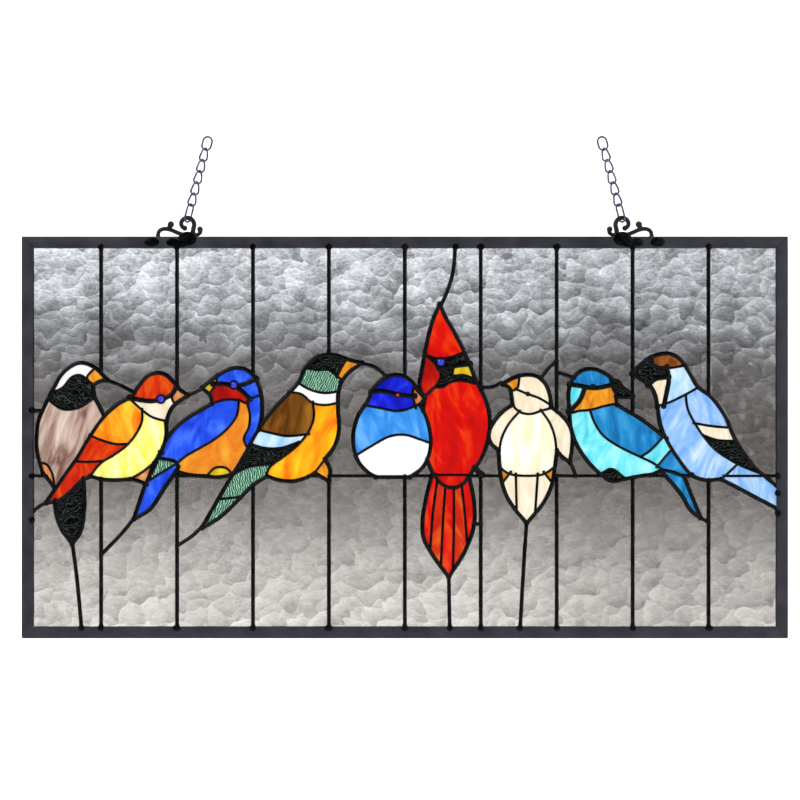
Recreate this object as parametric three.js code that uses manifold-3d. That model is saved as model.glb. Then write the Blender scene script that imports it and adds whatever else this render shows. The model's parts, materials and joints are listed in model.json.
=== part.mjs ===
// A hanging stained glass window panel: nine small birds perched on a wire, in coloured and clear
// glass held by soldered lead lines, inside a channel frame with two cast scroll hangers and chains.
// Millimetres, +X to the viewer's right, +Y away from the viewer, +Z up. The origin is the inside
// of the left chain's last link, where a wall hook bears.
import * as THREE from "three";
import { mergeVertices } from "three/addons/utils/BufferGeometryUtils.js";
import Module from "manifold-3d";

const wasm = await Module();
wasm.setup();

// Panel: upright lead lines, the wire and the glass around them
const BAY = 63; // from one upright line to the next
const UPRIGHTS_EACH_SIDE = 4; // upright lines on each side of the middle one
const END_BAY = 56; // from the outermost upright line to the frame
const ABOVE_WIRE = 189; // clear height of the opening above the wire
const BELOW_WIRE = 125; // clear height of the opening below the wire
const GLASS_THICKNESS = 3;
const CLEARANCE = 0.3; // between pieces that meet
const OVERSHOOT = 3; // how far a line is drawn past the edge of the glass, before it is cut

// Frame: a channel with its slot towards the glass
const FRAME_FACE = 9.5; // width of the frame seen from the front
const CHANNEL_LIP = 1.4; // wall in front of the glass, and behind it
const CHANNEL_WEB = 1.5; // wall at the outer edge
const EDGE_ROOM = 3; // between the glass and the web, for cement

// Lead lines, as wide as they show
const LEAD_RISE = 1.1; // height of the solder above each face of the glass
const UPRIGHT_WIDTH = 3.2;
const WIRE_WIDTH = 2.6;
const OUTLINE_WIDTH = 3.6;
const SEAM_WIDTH = 2.6;
const BROAD_WIDTH = 4.4; // eye stripes and masks
const CHORD_TURN = THREE.MathUtils.degToRad(36); // how far a curved line bends from chord to chord
const LONGEST_CHORD = 60; // on a curved line
const PROBES_PER_SPAN = 8; // where a curved line's bend is measured, between two of its points
const LONGEST_POINT = 1.6; // outer corner of an outline, in half widths of its lead

// Scroll hangers
const HANGER_SPACING = 362; // between the two hooks
const HANGER_STOCK = 3.6; // thickness of the casting
const SCROLL_FOOT = 5.2; // from the hook to the middle of the scroll's stem
const SCROLL_RADIUS = 6.2;
const SCROLL_END_RADIUS = 3.2;
const SCROLL_SWEEP = THREE.MathUtils.degToRad(240);
const SCROLL_STEPS = 8;
const SCROLL_HEIGHT = 9.6; // centre of the scroll above the frame
const KNOB_RADIUS = 2.5;
const SPRIG_REACH = 24; // from the hook to the end of the sprig
const SPRIG_RISE = 6.2;
const SPRIG_STOCK = 3.2;
const CURL_STOCK = 2.8; // the small curl on the other side
const CURL_KNOB_RADIUS = 2.2;
const BAR_SIDES = 6;

// Chains
const CHAIN_LEAN = THREE.MathUtils.degToRad(14.5); // towards the middle
const CHAIN_WIRE = 1.5;
const CHAIN_SLACK = 0.7; // between the first link and the scroll it hangs on
const LINK_INSIDE = 9.4; // length of a link's opening
const LINK_OPENING = 5.9; // width of it
const LINK_BITE = 0.2; // how far two links that touch are fused
const FIRST_LINK_INSIDE = 13.5;
const FIRST_LINK_TURN = THREE.MathUtils.degToRad(52); // about the chain, away from the panel's plane
const FIRST_LINK_PLAY = 0.35; // on each side of the scroll it hangs on
const TWISTED_LINKS = 5;
const LINK_TWIST = THREE.MathUtils.degToRad(90); // from one end of a twisted link to the other
const LINK_SIDES = 4;
const LINK_STEPS = 10; // round a link, with a corner at each end of it

const HALF_GLASS = GLASS_THICKNESS / 2;
const HALF_LEAD = HALF_GLASS + LEAD_RISE;
const CUT_DEPTH = 2 * HALF_LEAD; // half of it on each side, well past the glass and the lead
const GLASS_TUCK = FRAME_FACE - CHANNEL_WEB - EDGE_ROOM; // how far the glass runs into the slot
const INNER_WIDTH = 2 * (UPRIGHTS_EACH_SIDE * BAY + END_BAY);
const FRAME_LEFT = -INNER_WIDTH / 2 - FRAME_FACE;
const FRAME_TOP = ABOVE_WIRE + FRAME_FACE;
const FRAME_BOTTOM = -BELOW_WIRE - FRAME_FACE;

// The cartoon is drawn on squared paper, with 76 squares to a bay. Every drawing below counts
// squares to the right of its own upright line, and up from the wire.
const SQUARE = BAY / 76;
const FRAME_EDGE = END_BAY / SQUARE; // past the last upright
const TOP = ABOVE_WIRE / SQUARE;
const BOTTOM = -BELOW_WIRE / SQUARE;
const PAST = (GLASS_TUCK + OVERSHOOT) / SQUARE; // carries a line past the edge of the glass

const COLOURS = {
  clear: 0xc9ccca,
  lead: 0x15171a,
  frame: 0x26262a,
  iron: 0x1b181c,
  chain: 0x8a8494,
  mauve: 0xcdb4ae,
  black: 0x101312,
  amber: 0xf7a21c,
  yellow: 0xf9ef7a,
  red: 0xe02c08,
  blue: 0x1f49dc,
  brown: 0x7c4a12,
  green: 0x5fae86,
  white: 0xf4f2ef,
  sky: 0x3f96e2,
  cream: 0xf2e2bd,
  teal: 0x1f7fc0,
  aqua: 0x63e0ea,
  pale: 0x9cc4f2,
};

// A drawing is a closed outline of smooth runs, sharp where two runs meet, and the seams inside it.
// Drawings are listed from front to back: each one hides what lies behind it.
// A seam with fused set only shows on the two faces, and the glass runs on under it.
const DRAWINGS = [
  {
    bird: "collared_bird",
    upright: -1,
    outline: [
      [[33, 113], [20, 116], [9, 120], [-3, 121], [-15, 117], [-24, 107], [-30, 94], [-54, 68], [-70, 47],
        [-84, 22], [-104, -12], [-127, -52]],
      [[-127, -52], [-109, -41], [-92, -25], [-76, -9], [-62, 0]],
      [[-62, 0], [-50, -4], [-36, -5], [-24, -2], [-14, 3]],
      [[-14, 3], [0, -5]],
      [[0, -5], [1, 6], [-4, 17]],
      [[-4, 17], [6, 31], [10, 47], [9, 66], [9, 82], [12, 94]],
      [[12, 94], [20, 104], [33, 113]],
    ],
    seams: [
      { run: [[-28, 109], [-12, 106], [0, 106], [8, 100], [16, 94]], fused: true },
      { run: [[19, 119], [13, 109], [8, 99]], fused: true },
      { run: [[-34, 95], [-18, 86], [-4, 83], [12, 85]], fused: true },
      { run: [[-44, 84], [-28, 82], [-16, 73], [-3, 71], [12, 74]] },
      { run: [[-16, 74], [-15, 59], [-20, 45], [-31, 31], [-47, 18], [-59, 9], [-64, -3]] },
      { run: [[-74, 47], [-58, 43], [-42, 40], [-20, 42]] },
      { run: [[-81, 33], [-64, 28], [-48, 28], [-30, 34]], fused: true },
      { run: [[-96, 1], [-80, 9], [-56, 12]] },
      { run: [[-116, -24], [-90, -21]], fused: true },
      { run: [[-16, 1], [-3, 18]], fused: true },
    ],
    pieces: [
      ["head", [-8, 95], "green"],
      ["wing", [-36, 60], "brown"],
      ["wing_tip", [-62, 19], "black"],
      ["breast", [-8, 45], "amber"],
      ["tail", [-84, -7], "green"],
    ],
  },
  {
    bird: "blue_bird",
    upright: -2,
    outline: [
      [[-51, 88], [-37, 99], [-27, 105], [-16, 108], [-5, 105], [2, 98], [7, 86], [9, 72], [8, 56], [3, 39],
        [-5, 26]],
      [[-5, 26], [-9, 15], [-20, 3], [-34, -1], [-48, 0], [-62, 1], [-75, 4]],
      [[-75, 4], [-76, 13], [-94, 18]],
      [[-94, 18], [-86, 37], [-73, 52], [-57, 63], [-41, 72]],
      [[-41, 72], [-42, 80], [-51, 88]],
    ],
    seams: [
      { run: [[-40, 92], [-28, 92], [-19, 90], [-8, 92], [5, 98]], width: BROAD_WIDTH, fused: true },
      { run: [[-36, 102], [-37, 92], [-44, 82]], fused: true },
      { run: [[-19, 90], [-11, 85], [-3, 77]], width: BROAD_WIDTH, fused: true },
      { run: [[-6, 73], [0, 78], [12, 82]], fused: true },
      { run: [[-45, 71], [-29, 76], [-16, 76], [-5, 72]] },
      { run: [[-14, 76], [-16, 61], [-25, 48], [-38, 37], [-53, 28], [-67, 20], [-78, 11]] },
      { run: [[-6, 74], [-3, 61], [-4, 49], [-9, 37], [-4, 25]] },
      { run: [[-47, -1], [-38, 8], [-27, 8], [-20, 1]], fused: true },
    ],
    pieces: [
      ["head", [-15, 99], "blue"],
      ["wing", [-50, 45], "blue"],
      ["belly", [-25, 25], "amber"],
    ],
  },
  {
    bird: "blue_bird",
    upright: -2,
    outline: [
      [[-93, 24], [-99, 8], [-106, -5], [-112, -22], [-119, -43]],
      [[-119, -43], [-103, -33], [-90, -14], [-77, 5]],
      [[-77, 5], [-70, 16]],
      [[-70, 16], [-93, 24]],
    ],
    seams: [{ run: [[-109, -8], [-92, 3], [-72, 15]], fused: true }],
    pieces: [["tail", [-101, -22], "blue"]],
  },
  {
    bird: "yellow_bird",
    upright: -3,
    outline: [
      [[11, 81], [3, 86], [-3, 93], [-10, 100], [-19, 103], [-29, 100], [-38, 90], [-45, 79]],
      [[-45, 79], [-60, 71], [-74, 58], [-88, 38], [-100, 18], [-112, 1], [-131, -27]],
      [[-131, -27], [-118, -24], [-106, -15], [-96, -5], [-87, 0]],
      [[-87, 0], [-76, -3], [-62, -4], [-47, -3]],
      [[-47, -3], [-38, -5], [-29, -9]],
      [[-29, -9], [-27, 2], [-23, 13]],
      [[-23, 13], [-15, 26], [-11, 40], [-11, 54]],
      [[-11, 54], [-8, 63], [-3, 71], [11, 81]],
    ],
    seams: [
      { run: [[-48, 78], [-24, 75], [-6, 81], [-1, 88]], width: BROAD_WIDTH, fused: true },
      { run: [[-3, 86], [-5, 78], [-1, 70]], fused: true },
      { run: [[-50, 80], [-36, 67], [-25, 59], [-7, 54]] },
      { run: [[-35, 67], [-35, 55], [-41, 42], [-51, 30], [-63, 21], [-76, 13], [-89, -3]] },
      { run: [[-92, 43], [-76, 36], [-62, 32], [-49, 32]] },
      { run: [[-106, 15], [-90, 14], [-74, 15]], fused: true },
      { run: [[-49, -4], [-36, 3], [-22, 14]], fused: true },
    ],
    pieces: [
      ["head", [-20, 90], "red"],
      ["wing", [-60, 52], "amber"],
      ["tail", [-95, 2], "red"],
      ["belly", [-35, 25], "yellow"],
    ],
  },
  {
    bird: "mauve_bird",
    upright: -4,
    outline: [
      [[6, 96], [-6, 108], [-21, 113], [-37, 104], [-48, 86], [-56, 70], [-62, 56], [-64, 42], [-64, 27],
        [-61, 13], [-58, 3]],
      [[-58, 3], [-52, -4], [-46, -13]],
      [[-46, -13], [-10, 8], [12, 50], [3, 60]],
      [[3, 60], [-2, 70], [-7, 80], [-8, 91]],
      [[-8, 91], [-1, 95], [6, 96]],
    ],
    seams: [
      { run: [[-54, 82], [-39, 88], [-29, 99], [-21, 101], [-14, 97]], fused: true },
      { run: [[-4, 110], [-14, 98], [-6, 90]], fused: true },
      { run: [[-57, 80], [-39, 67], [-23, 68], [-4, 80]] },
      { run: [[-64, 13], [-55, 12], [-49, 3], [-46, -14]], fused: true },
    ],
    pieces: [
      ["head", [-28, 82], "black"],
      ["body", [-36, 40], "mauve"],
    ],
  },
  {
    bird: "mauve_bird",
    upright: -4,
    outline: [
      [[-44, -10], [-46, -28], [-41, -50], [-29, -68]],
      [[-29, -68], [-21, -56], [-17, -32], [-18, 0]],
      [[-18, 0], [-30, 2], [-44, -10]],
    ],
    seams: [],
    pieces: [["tail", [-31, -40], "black"]],
  },
  {
    bird: "round_bird",
    upright: 0,
    outline: [
      [[20, 78], [13, 85], [8, 93], [0, 99], [-9, 101], [-20, 98], [-30, 89], [-37, 75], [-46, 61],
        [-51, 45], [-51, 29], [-46, 14], [-37, 4], [-29, -1]],
      [[-29, -1], [5, -1]],
      [[5, -1], [16, 7], [23, 18], [26, 34], [24, 50], [20, 62], [15, 71]],
      [[15, 71], [20, 78]],
    ],
    seams: [
      { run: [[-39, 83], [-24, 85], [-9, 82], [3, 80], [10, 80]], width: BROAD_WIDTH, fused: true },
      { run: [[10, 94], [8, 82], [11, 68]], fused: true },
      { run: [[-42, 71], [-25, 68], [-8, 65], [3, 67], [18, 74]] },
      { run: [[-53, 18], [-35, 29], [-14, 40], [1, 41], [14, 37], [30, 31]] },
    ],
    pieces: [
      ["head", [-12, 92], "blue"],
      ["breast", [-12, 52], "sky"],
      ["belly", [-8, 20], "white"],
    ],
  },
  {
    bird: "crested_bird",
    upright: 1,
    outline: [
      [[-41, 172], [-47, 158], [-52, 141], [-56, 121], [-59, 104], [-61, 90], [-56, 77]],
      [[-56, 77], [-58, 60], [-57, 38], [-54, 18], [-47, 2], [-39, -8], [-28, -12], [-18, -8], [-10, 3],
        [1, 19], [7, 36], [9, 54], [6, 72], [0, 86]],
      [[0, 86], [-6, 98], [-12, 113], [-19, 129], [-28, 146], [-36, 160], [-41, 172]],
    ],
    seams: [
      { run: [[-60, 123], [-46, 118], [-34, 118], [-13, 125]] },
      { run: [[-55, 121], [-45, 111], [-40, 101], [-46, 89], [-58, 77]], fused: true },
      { run: [[-42, 108], [-28, 110], [-10, 112]], width: BROAD_WIDTH, fused: true },
      { run: [[-26, 112], [-28, 101], [-17, 101], [-4, 96]], fused: true },
      { run: [[-58, 78], [-47, 88], [-38, 89], [-30, 94], [-18, 95], [0, 91]] },
      { run: [[-52, 1], [-6, 1]], fused: true },
    ],
    pieces: [
      ["crest", [-40, 135], "red"],
      ["face", [-50, 100], "red"],
      ["body", [-25, 50], "red"],
    ],
  },
  {
    bird: "crested_bird",
    upright: 1,
    outline: [
      [[-49, 0], [-54, -20], [-58, -45], [-57, -62], [-48, -79], [-32, -101]],
      [[-32, -101], [-15, -73], [-7, -49], [-7, -26], [-12, 0]],
      [[-12, 0], [-28, 4], [-49, 0]],
    ],
    seams: [
      { run: [[-43, 0], [-48, -38], [-51, -80]], fused: true },
      { run: [[-35, -4], [-38, -48], [-40, -96]], fused: true },
      { run: [[-27, -6], [-27, -50], [-28, -100]], fused: true },
      { run: [[-20, -2], [-16, -38], [-13, -76]], fused: true },
    ],
    pieces: [["tail", [-32, -50], "red"]],
  },
  {
    bird: "white_bird",
    upright: 2,
    outline: [
      [[-54, 92], [-43, 98], [-31, 101], [-19, 99], [-11, 91], [-7, 80], [-6, 69]],
      [[-6, 69], [3, 62], [11, 53], [15, 43], [15, 29], [13, 14]],
      [[13, 14], [6, 19], [0, 26]],
      [[0, 26], [-2, 10], [-5, -8], [-13, -26], [-30, -47]],
      [[-30, -47], [-41, -34], [-50, -20], [-55, -5], [-57, 10], [-58, 26]],
      [[-58, 26], [-65, 32], [-68, 42], [-62, 55], [-53, 65], [-44, 71]],
      [[-44, 71], [-45, 80], [-47, 88], [-54, 92]],
    ],
    seams: [
      { run: [[-37, 102], [-40, 87], [-49, 85]], fused: true },
      { run: [[-41, 87], [-29, 82], [-18, 78], [-3, 69]], fused: true },
      { run: [[-47, 74], [-37, 64], [-26, 62], [-16, 65], [-2, 69]] },
      { run: [[-37, 65], [-48, 52], [-55, 38], [-58, 22]] },
      { run: [[-16, 66], [-7, 53], [-2, 39], [0, 22]] },
      { run: [[-60, 12], [-51, 4], [-43, 1], [-16, 1], [-9, 4], [1, 12]] },
      { run: [[-41, 2], [-40, -38]], fused: true },
      { run: [[-19, 2], [-22, -42]], fused: true },
      { run: [[-46, 4], [-56, -9]], fused: true },
      { run: [[-13, 4], [-3, -9]], fused: true },
    ],
    pieces: [
      ["head", [-25, 91], "cream"],
      ["belly", [-30, 30], "white"],
      ["left_wing", [-61, 45], "cream"],
      ["right_wing", [5, 42], "cream"],
      ["tail", [-31, -15], "cream"],
    ],
  },
  {
    bird: "pale_bird",
    upright: 4,
    outline: [
      [[-77, 102], [-67, 112], [-57, 119], [-47, 122], [-38, 122], [-28, 116], [-20, 104], [-11, 89],
        [1, 80], [11, 68], [18, 56], [24, 41], [32, 27], [43, 12], [FRAME_EDGE - 12, 0],
        [FRAME_EDGE + PAST, -17]],
      [[FRAME_EDGE + PAST, -17], [FRAME_EDGE + PAST, -37]],
      [[FRAME_EDGE + PAST, -37], [FRAME_EDGE - 19, -22], [26, -10], [12, -3]],
      [[12, -3], [-3, -4], [-17, 1], [-31, 18], [-41, 34], [-48, 51], [-51, 69]],
      [[-51, 69], [-53, 80], [-58, 90], [-66, 96], [-77, 102]],
    ],
    seams: [
      { run: [[-58, 122], [-54, 111], [-42, 108], [-21, 111]], fused: true },
      { run: [[-42, 109], [-40, 96], [-42, 84], [-45, 70]], width: BROAD_WIDTH, fused: true },
      { run: [[-61, 90], [-53, 97], [-40, 99]], width: BROAD_WIDTH, fused: true },
      { run: [[-55, 69], [-41, 73], [-26, 80], [-8, 90]] },
      {
        run: [[-23, 81], [-21, 67], [-14, 53], [-4, 38], [7, 26], [20, 17], [33, 10],
          [FRAME_EDGE - 12, 1]],
      },
      { run: [[-15, 53], [2, 50], [24, 48]], fused: true },
      { run: [[-6, 41], [8, 36], [30, 35]], fused: true },
      { run: [[10, -6], [29, 12]] },
      { run: [[15, 0], [FRAME_EDGE - 9, 0]], fused: true },
    ],
    pieces: [
      ["head", [-30, 95], "pale"],
      ["breast", [-30, 45], "pale"],
      ["wing", [5, 62], "pale"],
      ["tail", [45, -12], "pale"],
    ],
  },
  {
    bird: "teal_bird",
    upright: 3,
    outline: [
      [[0, 80], [-9, 88], [-19, 96], [-29, 103], [-41, 107], [-53, 104], [-61, 95], [-64, 82], [-63, 66],
        [-62, 50], [-56, 32], [-45, 15], [-32, 2], [-21, -5], [-8, -3], [7, 0], [20, 2], [29, 6]],
      [[29, 6], [40, 4], [51, 0], [62, 2]],
      [[62, 2], [52, 24], [30, 40]],
      [[30, 40], [20, 48], [6, 58], [-6, 65], [-16, 71]],
      [[-16, 71], [-17, 80]],
      [[-17, 80], [-9, 79], [0, 80]],
    ],
    seams: [
      { run: [[-66, 92], [-52, 90], [-40, 88], [-30, 89], [-15, 93]], width: BROAD_WIDTH, fused: true },
      { run: [[-24, 104], [-21, 90], [-15, 78]], fused: true },
      { run: [[-48, 88], [-53, 76], [-66, 62]], width: BROAD_WIDTH, fused: true },
      { run: [[-67, 61], [-54, 65], [-43, 66], [-28, 70], [-13, 73]] },
      { run: [[-43, 66], [-38, 53], [-30, 41], [-18, 32], [-3, 24], [10, 18], [22, 12], [32, 4]] },
      { run: [[8, 19], [18, 26], [33, 42]] },
      { run: [[24, 9], [40, 28]], fused: true },
      { run: [[-34, 1], [-21, 7], [-8, -2]], fused: true },
    ],
    pieces: [
      ["head", [-42, 98], "teal"],
      ["wing", [-5, 45], "teal"],
      ["breast", [-40, 35], "aqua"],
      ["rump", [21, 23], "aqua"],
    ],
  },
  {
    bird: "teal_bird",
    upright: 3,
    outline: [
      [[25, 8], [37, -4], [49, -19], [58, -34], [68, -42]],
      [[68, -42], [58, -18], [50, 1], [44, 8]],
      [[44, 8], [34, 12], [25, 8]],
    ],
    seams: [],
    pieces: [["tail", [50, -12], "teal"]],
  },
];

// The upright lines, from left to right: where each stops above the birds, in squares above the
// wire. The clear glass is cut along each of them on one side of the wire only, and runs on under
// the line on the other side.
const UPRIGHTS = [
  { end: 103, cuts: "below" },
  { end: 89, cuts: "above" },
  { end: 101, cuts: "below" },
  { end: 119, cuts: "above" },
  { end: 99, cuts: "below" },
  { end: 88, cuts: "above" },
  { end: 64, cuts: "above" },
  { end: 62, cuts: "below" },
  { end: 82, cuts: "above" },
];

// Lead lines that tie the birds to the frame, the uprights and each other.
const TIES = [
  { upright: -4, run: [[-FRAME_EDGE - PAST, 66], [-57, 65]] },
  { upright: -4, run: [[5, 96], [16, 92], [34, 83]], fused: true },
  { upright: -3, run: [[-130, -26], [-140, -32], [-76 - FRAME_EDGE - PAST, -44]], fused: true },
  { upright: -4, run: [[-29, -66], [-24, -105], [-19, BOTTOM - PAST]], fused: true },
  { upright: -2, run: [[-118, -41], [-130, -56], [-152, -79]], fused: true },
  { upright: -2, run: [[-49, 89], [-57, 84], [-67, 80]], fused: true },
  { upright: -1, run: [[-126, -50], [-138, -61], [-152, -70]], fused: true },
  { upright: -1, run: [[31, 113], [46, 109], [60, 97]], fused: true },
  { upright: 1, run: [[-41, 168], [-34, 184], [-28, 203], [-25, TOP + PAST]] },
  { upright: 1, run: [[-32, -98], [-31, BOTTOM - PAST]] },
  { upright: 1, run: [[-10, -48], [0, -48]], fused: true },
  { upright: 1, run: [[-8, 10], [1, 1]], width: BROAD_WIDTH, fused: true },
  { upright: 1, run: [[20, 93], [12, 89], [0, 89]], fused: true },
  { upright: 2, run: [[-17, 96], [-8, 108], [0, 115]], fused: true },
  { upright: 2, run: [[13, 16], [16, 8], [19, 0]], fused: true },
  { upright: 2, run: [[-30, -45], [-33, -90], [-37, BOTTOM - PAST]] },
  { upright: 3, run: [[-76, 104], [-57, 98]], fused: true },
  { upright: 3, run: [[66, -40], [76, -47]], fused: true },
];

// The wire the birds perch on. Only one stretch of it, between two birds, parts the clear glass.
const WIRE = [
  { upright: 0, run: [[-4 * 76 - FRAME_EDGE - PAST, 0], [-76, 0]], fused: true },
  { upright: 0, run: [[-76, 0], [-29, 0]] },
  { upright: 0, run: [[-29, 0], [4 * 76 + FRAME_EDGE + PAST, 0]], fused: true },
];

// One point of each pane of clear glass: upright line, then squares right of it and above the wire
const CLEAR_UPPER = [
  [-4, [-40, 170]],
  [-2, [-20, 170]],
  [0, [-30, 170]],
  [1, [-12, 190]],
  [2, [-38, 170]],
  [3, [20, 170]],
  [4, [30, 170]],
];
const CLEAR_LOWER = [
  [-4, [-40, -120]],
  [-3, [30, -120]],
  [-1, [30, -100]],
  [0, [12, -100]],
  [1, [15, -120]],
  [2, [10, -120]],
  [4, [10, -120]],
];

// Squares to the frame's own millimetres
const place = (upright, [across, up]) => new THREE.Vector2(upright * BAY + across * SQUARE, up * SQUARE);

// Points along a smooth run, closer together where it bends.
function trace(upright, run) {
  const points = run.map((p) => place(upright, p));
  if (points.length === 2) return points;
  const curve = new THREE.CatmullRomCurve3(points.map((p) => new THREE.Vector3(p.x, p.y, 0)));
  const probes = PROBES_PER_SPAN * (points.length - 1);
  const chordsUpTo = [0];
  for (let i = 1; i <= probes; i++) {
    const length = curve.getPoint(i / probes).distanceTo(curve.getPoint((i - 1) / probes));
    const bend = curve.getTangent(i / probes).angleTo(curve.getTangent((i - 1) / probes));
    chordsUpTo.push(chordsUpTo[i - 1] + bend / CHORD_TURN + length / LONGEST_CHORD);
  }
  const share = chordsUpTo[probes] / Math.max(2, Math.round(chordsUpTo[probes]));
  const traced = [points[0]];
  for (let i = 1; i < probes; i++) {
    if (Math.floor(chordsUpTo[i] / share) === Math.floor(chordsUpTo[i - 1] / share)) continue;
    const { x, y } = curve.getPoint(i / probes);
    traced.push(new THREE.Vector2(x, y));
  }
  return [...traced, points[points.length - 1]];
}

// A closed mesh with its shared corners merged, as a solid that can be joined and cut.
function solid(geometry) {
  const bare = geometry.index ? geometry.toNonIndexed() : geometry.clone();
  bare.deleteAttribute("normal");
  bare.deleteAttribute("uv");
  const merged = mergeVertices(bare, 1e-4);
  const mesh = new wasm.Mesh({
    numProp: 3,
    vertProperties: new Float32Array(merged.attributes.position.array),
    triVerts: new Uint32Array(merged.index.array),
  });
  return new wasm.Manifold(mesh);
}

// The other way round: a solid's faces as a geometry.
function surface(body) {
  const mesh = body.getMesh();
  const positions = new Float32Array(mesh.numVert * 3);
  for (let i = 0; i < mesh.numVert; i++) {
    positions.set(mesh.vertProperties.subarray(i * mesh.numProp, i * mesh.numProp + 3), i * 3);
  }
  const geometry = new THREE.BufferGeometry();
  geometry.setAttribute("position", new THREE.BufferAttribute(positions, 3));
  geometry.setIndex(new THREE.BufferAttribute(new Uint32Array(mesh.triVerts), 1));
  geometry.computeVertexNormals();
  return geometry;
}

// A flat shape in the panel's plane, given its thickness between two depths.
function slab(points, front, back) {
  const shape = new THREE.Shape(points);
  const geometry = new THREE.ExtrudeGeometry(shape, { depth: back - front, bevelEnabled: false, steps: 1 });
  geometry.rotateX(Math.PI / 2);
  geometry.translate(0, back, 0);
  return solid(geometry);
}

// How far a corner moves when the lines that meet there are shifted sideways by some distance.
function mitre(into, out, distance, longest) {
  const along = into.clone().add(out).normalize();
  const reach = Math.min(1 / along.dot(out), longest);
  return new THREE.Vector2(-along.y, along.x).multiplyScalar(distance * reach);
}

// A line of the given width, cut square at both ends.
function strip(points, width, front, back) {
  const left = [];
  const right = [];
  const last = points.length - 1;
  points.forEach((p, i) => {
    const into = points[Math.max(1, i)].clone().sub(points[Math.max(1, i) - 1]).normalize();
    const out = points[Math.min(last, i + 1)].clone().sub(points[Math.min(last, i + 1) - 1]).normalize();
    const across = mitre(into, out, width / 2, Infinity);
    left.push(p.clone().add(across));
    right.push(p.clone().sub(across));
  });
  return slab([...left, ...right.reverse()], front, back);
}

// A closed ring of points moved outwards, or inwards where the distance is negative.
function offsetRing(points, distance) {
  const count = points.length;
  return points.map((p, i) => {
    const into = p.clone().sub(points[(i + count - 1) % count]).normalize();
    const out = points[(i + 1) % count].clone().sub(p).normalize();
    return p.clone().sub(mitre(into, out, distance, distance > 0 ? LONGEST_POINT : Infinity));
  });
}

const rectangle = (left, bottom, right, top) => [
  new THREE.Vector2(left, bottom),
  new THREE.Vector2(right, bottom),
  new THREE.Vector2(right, top),
  new THREE.Vector2(left, top),
];

const join = (bodies) => wasm.Manifold.union(bodies);

// The outline of a drawing as one closed ring of points.
function ring(drawing) {
  const points = drawing.outline.flatMap((run) => trace(drawing.upright, run).slice(0, -1));
  return THREE.ShapeUtils.isClockWise(points) ? points.reverse() : points;
}

const silhouettes = DRAWINGS.map((drawing) => slab(ring(drawing), -CUT_DEPTH, CUT_DEPTH));

// The birds' lead lines between two depths, widened by some amount on each side. The lines of a
// drawing are hidden by the drawings in front of it.
function birdLines(front, back, wider, fused) {
  return DRAWINGS.flatMap(({ upright, seams, ...drawing }, i) => {
    const own = seams
      .filter((seam) => Boolean(seam.fused) === fused)
      .map(({ run, width = SEAM_WIDTH }) => {
        const seam = strip(trace(upright, run), width + 2 * wider, front, back);
        return seam.intersect(silhouettes[i]);
      });
    if (!fused) {
      const edge = ring({ upright, ...drawing });
      const half = OUTLINE_WIDTH / 2 + wider;
      const outer = slab(offsetRing(edge, half), front, back);
      own.push(outer.subtract(slab(offsetRing(edge, -half), -CUT_DEPTH, CUT_DEPTH)));
    }
    return own.length ? [join(own).subtract(join(silhouettes.slice(0, i)))] : [];
  });
}

// The background's lead lines in the same way, hidden by every bird.
function backgroundLines(front, back, wider, fused) {
  const lines = [...TIES, ...WIRE.map((span) => ({ ...span, width: WIRE_WIDTH }))];
  UPRIGHTS.forEach(({ end, cuts }, i) => {
    const upright = i - UPRIGHTS_EACH_SIDE;
    lines.push({ upright, run: [[0, end], [0, TOP + PAST]], fused: cuts !== "above" });
    lines.push({ upright, run: [[0, BOTTOM - PAST], [0, 0]], fused: cuts !== "below" });
  });
  return lines
    .filter((line) => Boolean(line.fused) === fused)
    .map(({ upright, run, width = UPRIGHT_WIDTH }) => {
      const line = strip(trace(upright, run), width + 2 * wider, front, back);
      return line.subtract(join(silhouettes));
    });
}

// All soldered lead lines as the one network they are, stopping short of the frame. The birds'
// finest seams are on the front only.
function leading() {
  const opening = slab(
    rectangle(
      -INNER_WIDTH / 2 + CLEARANCE,
      -BELOW_WIRE + CLEARANCE,
      INNER_WIDTH / 2 - CLEARANCE,
      ABOVE_WIRE - CLEARANCE,
    ),
    -CUT_DEPTH,
    CUT_DEPTH,
  );
  const faceGap = HALF_GLASS + CLEARANCE;
  const network = join([
    ...birdLines(-HALF_LEAD, HALF_LEAD, 0, false),
    ...backgroundLines(-HALF_LEAD, HALF_LEAD, 0, false),
    ...birdLines(-HALF_LEAD, -faceGap, 0, true),
    ...backgroundLines(-HALF_LEAD, -faceGap, 0, true),
    ...backgroundLines(faceGap, HALF_LEAD, 0, true),
  ]);
  return network.intersect(opening);
}

// The sheet of glass, cut along every line that goes through it.
function glassPieces() {
  const sheet = slab(
    rectangle(
      -INNER_WIDTH / 2 - GLASS_TUCK,
      -BELOW_WIRE - GLASS_TUCK,
      INNER_WIDTH / 2 + GLASS_TUCK,
      ABOVE_WIRE + GLASS_TUCK,
    ),
    -HALF_GLASS,
    HALF_GLASS,
  );
  const cuts = [
    ...birdLines(-CUT_DEPTH, CUT_DEPTH, CLEARANCE, false),
    ...backgroundLines(-CUT_DEPTH, CUT_DEPTH, CLEARANCE, false),
  ];
  return sheet.subtract(join(cuts)).decompose();
}

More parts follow.
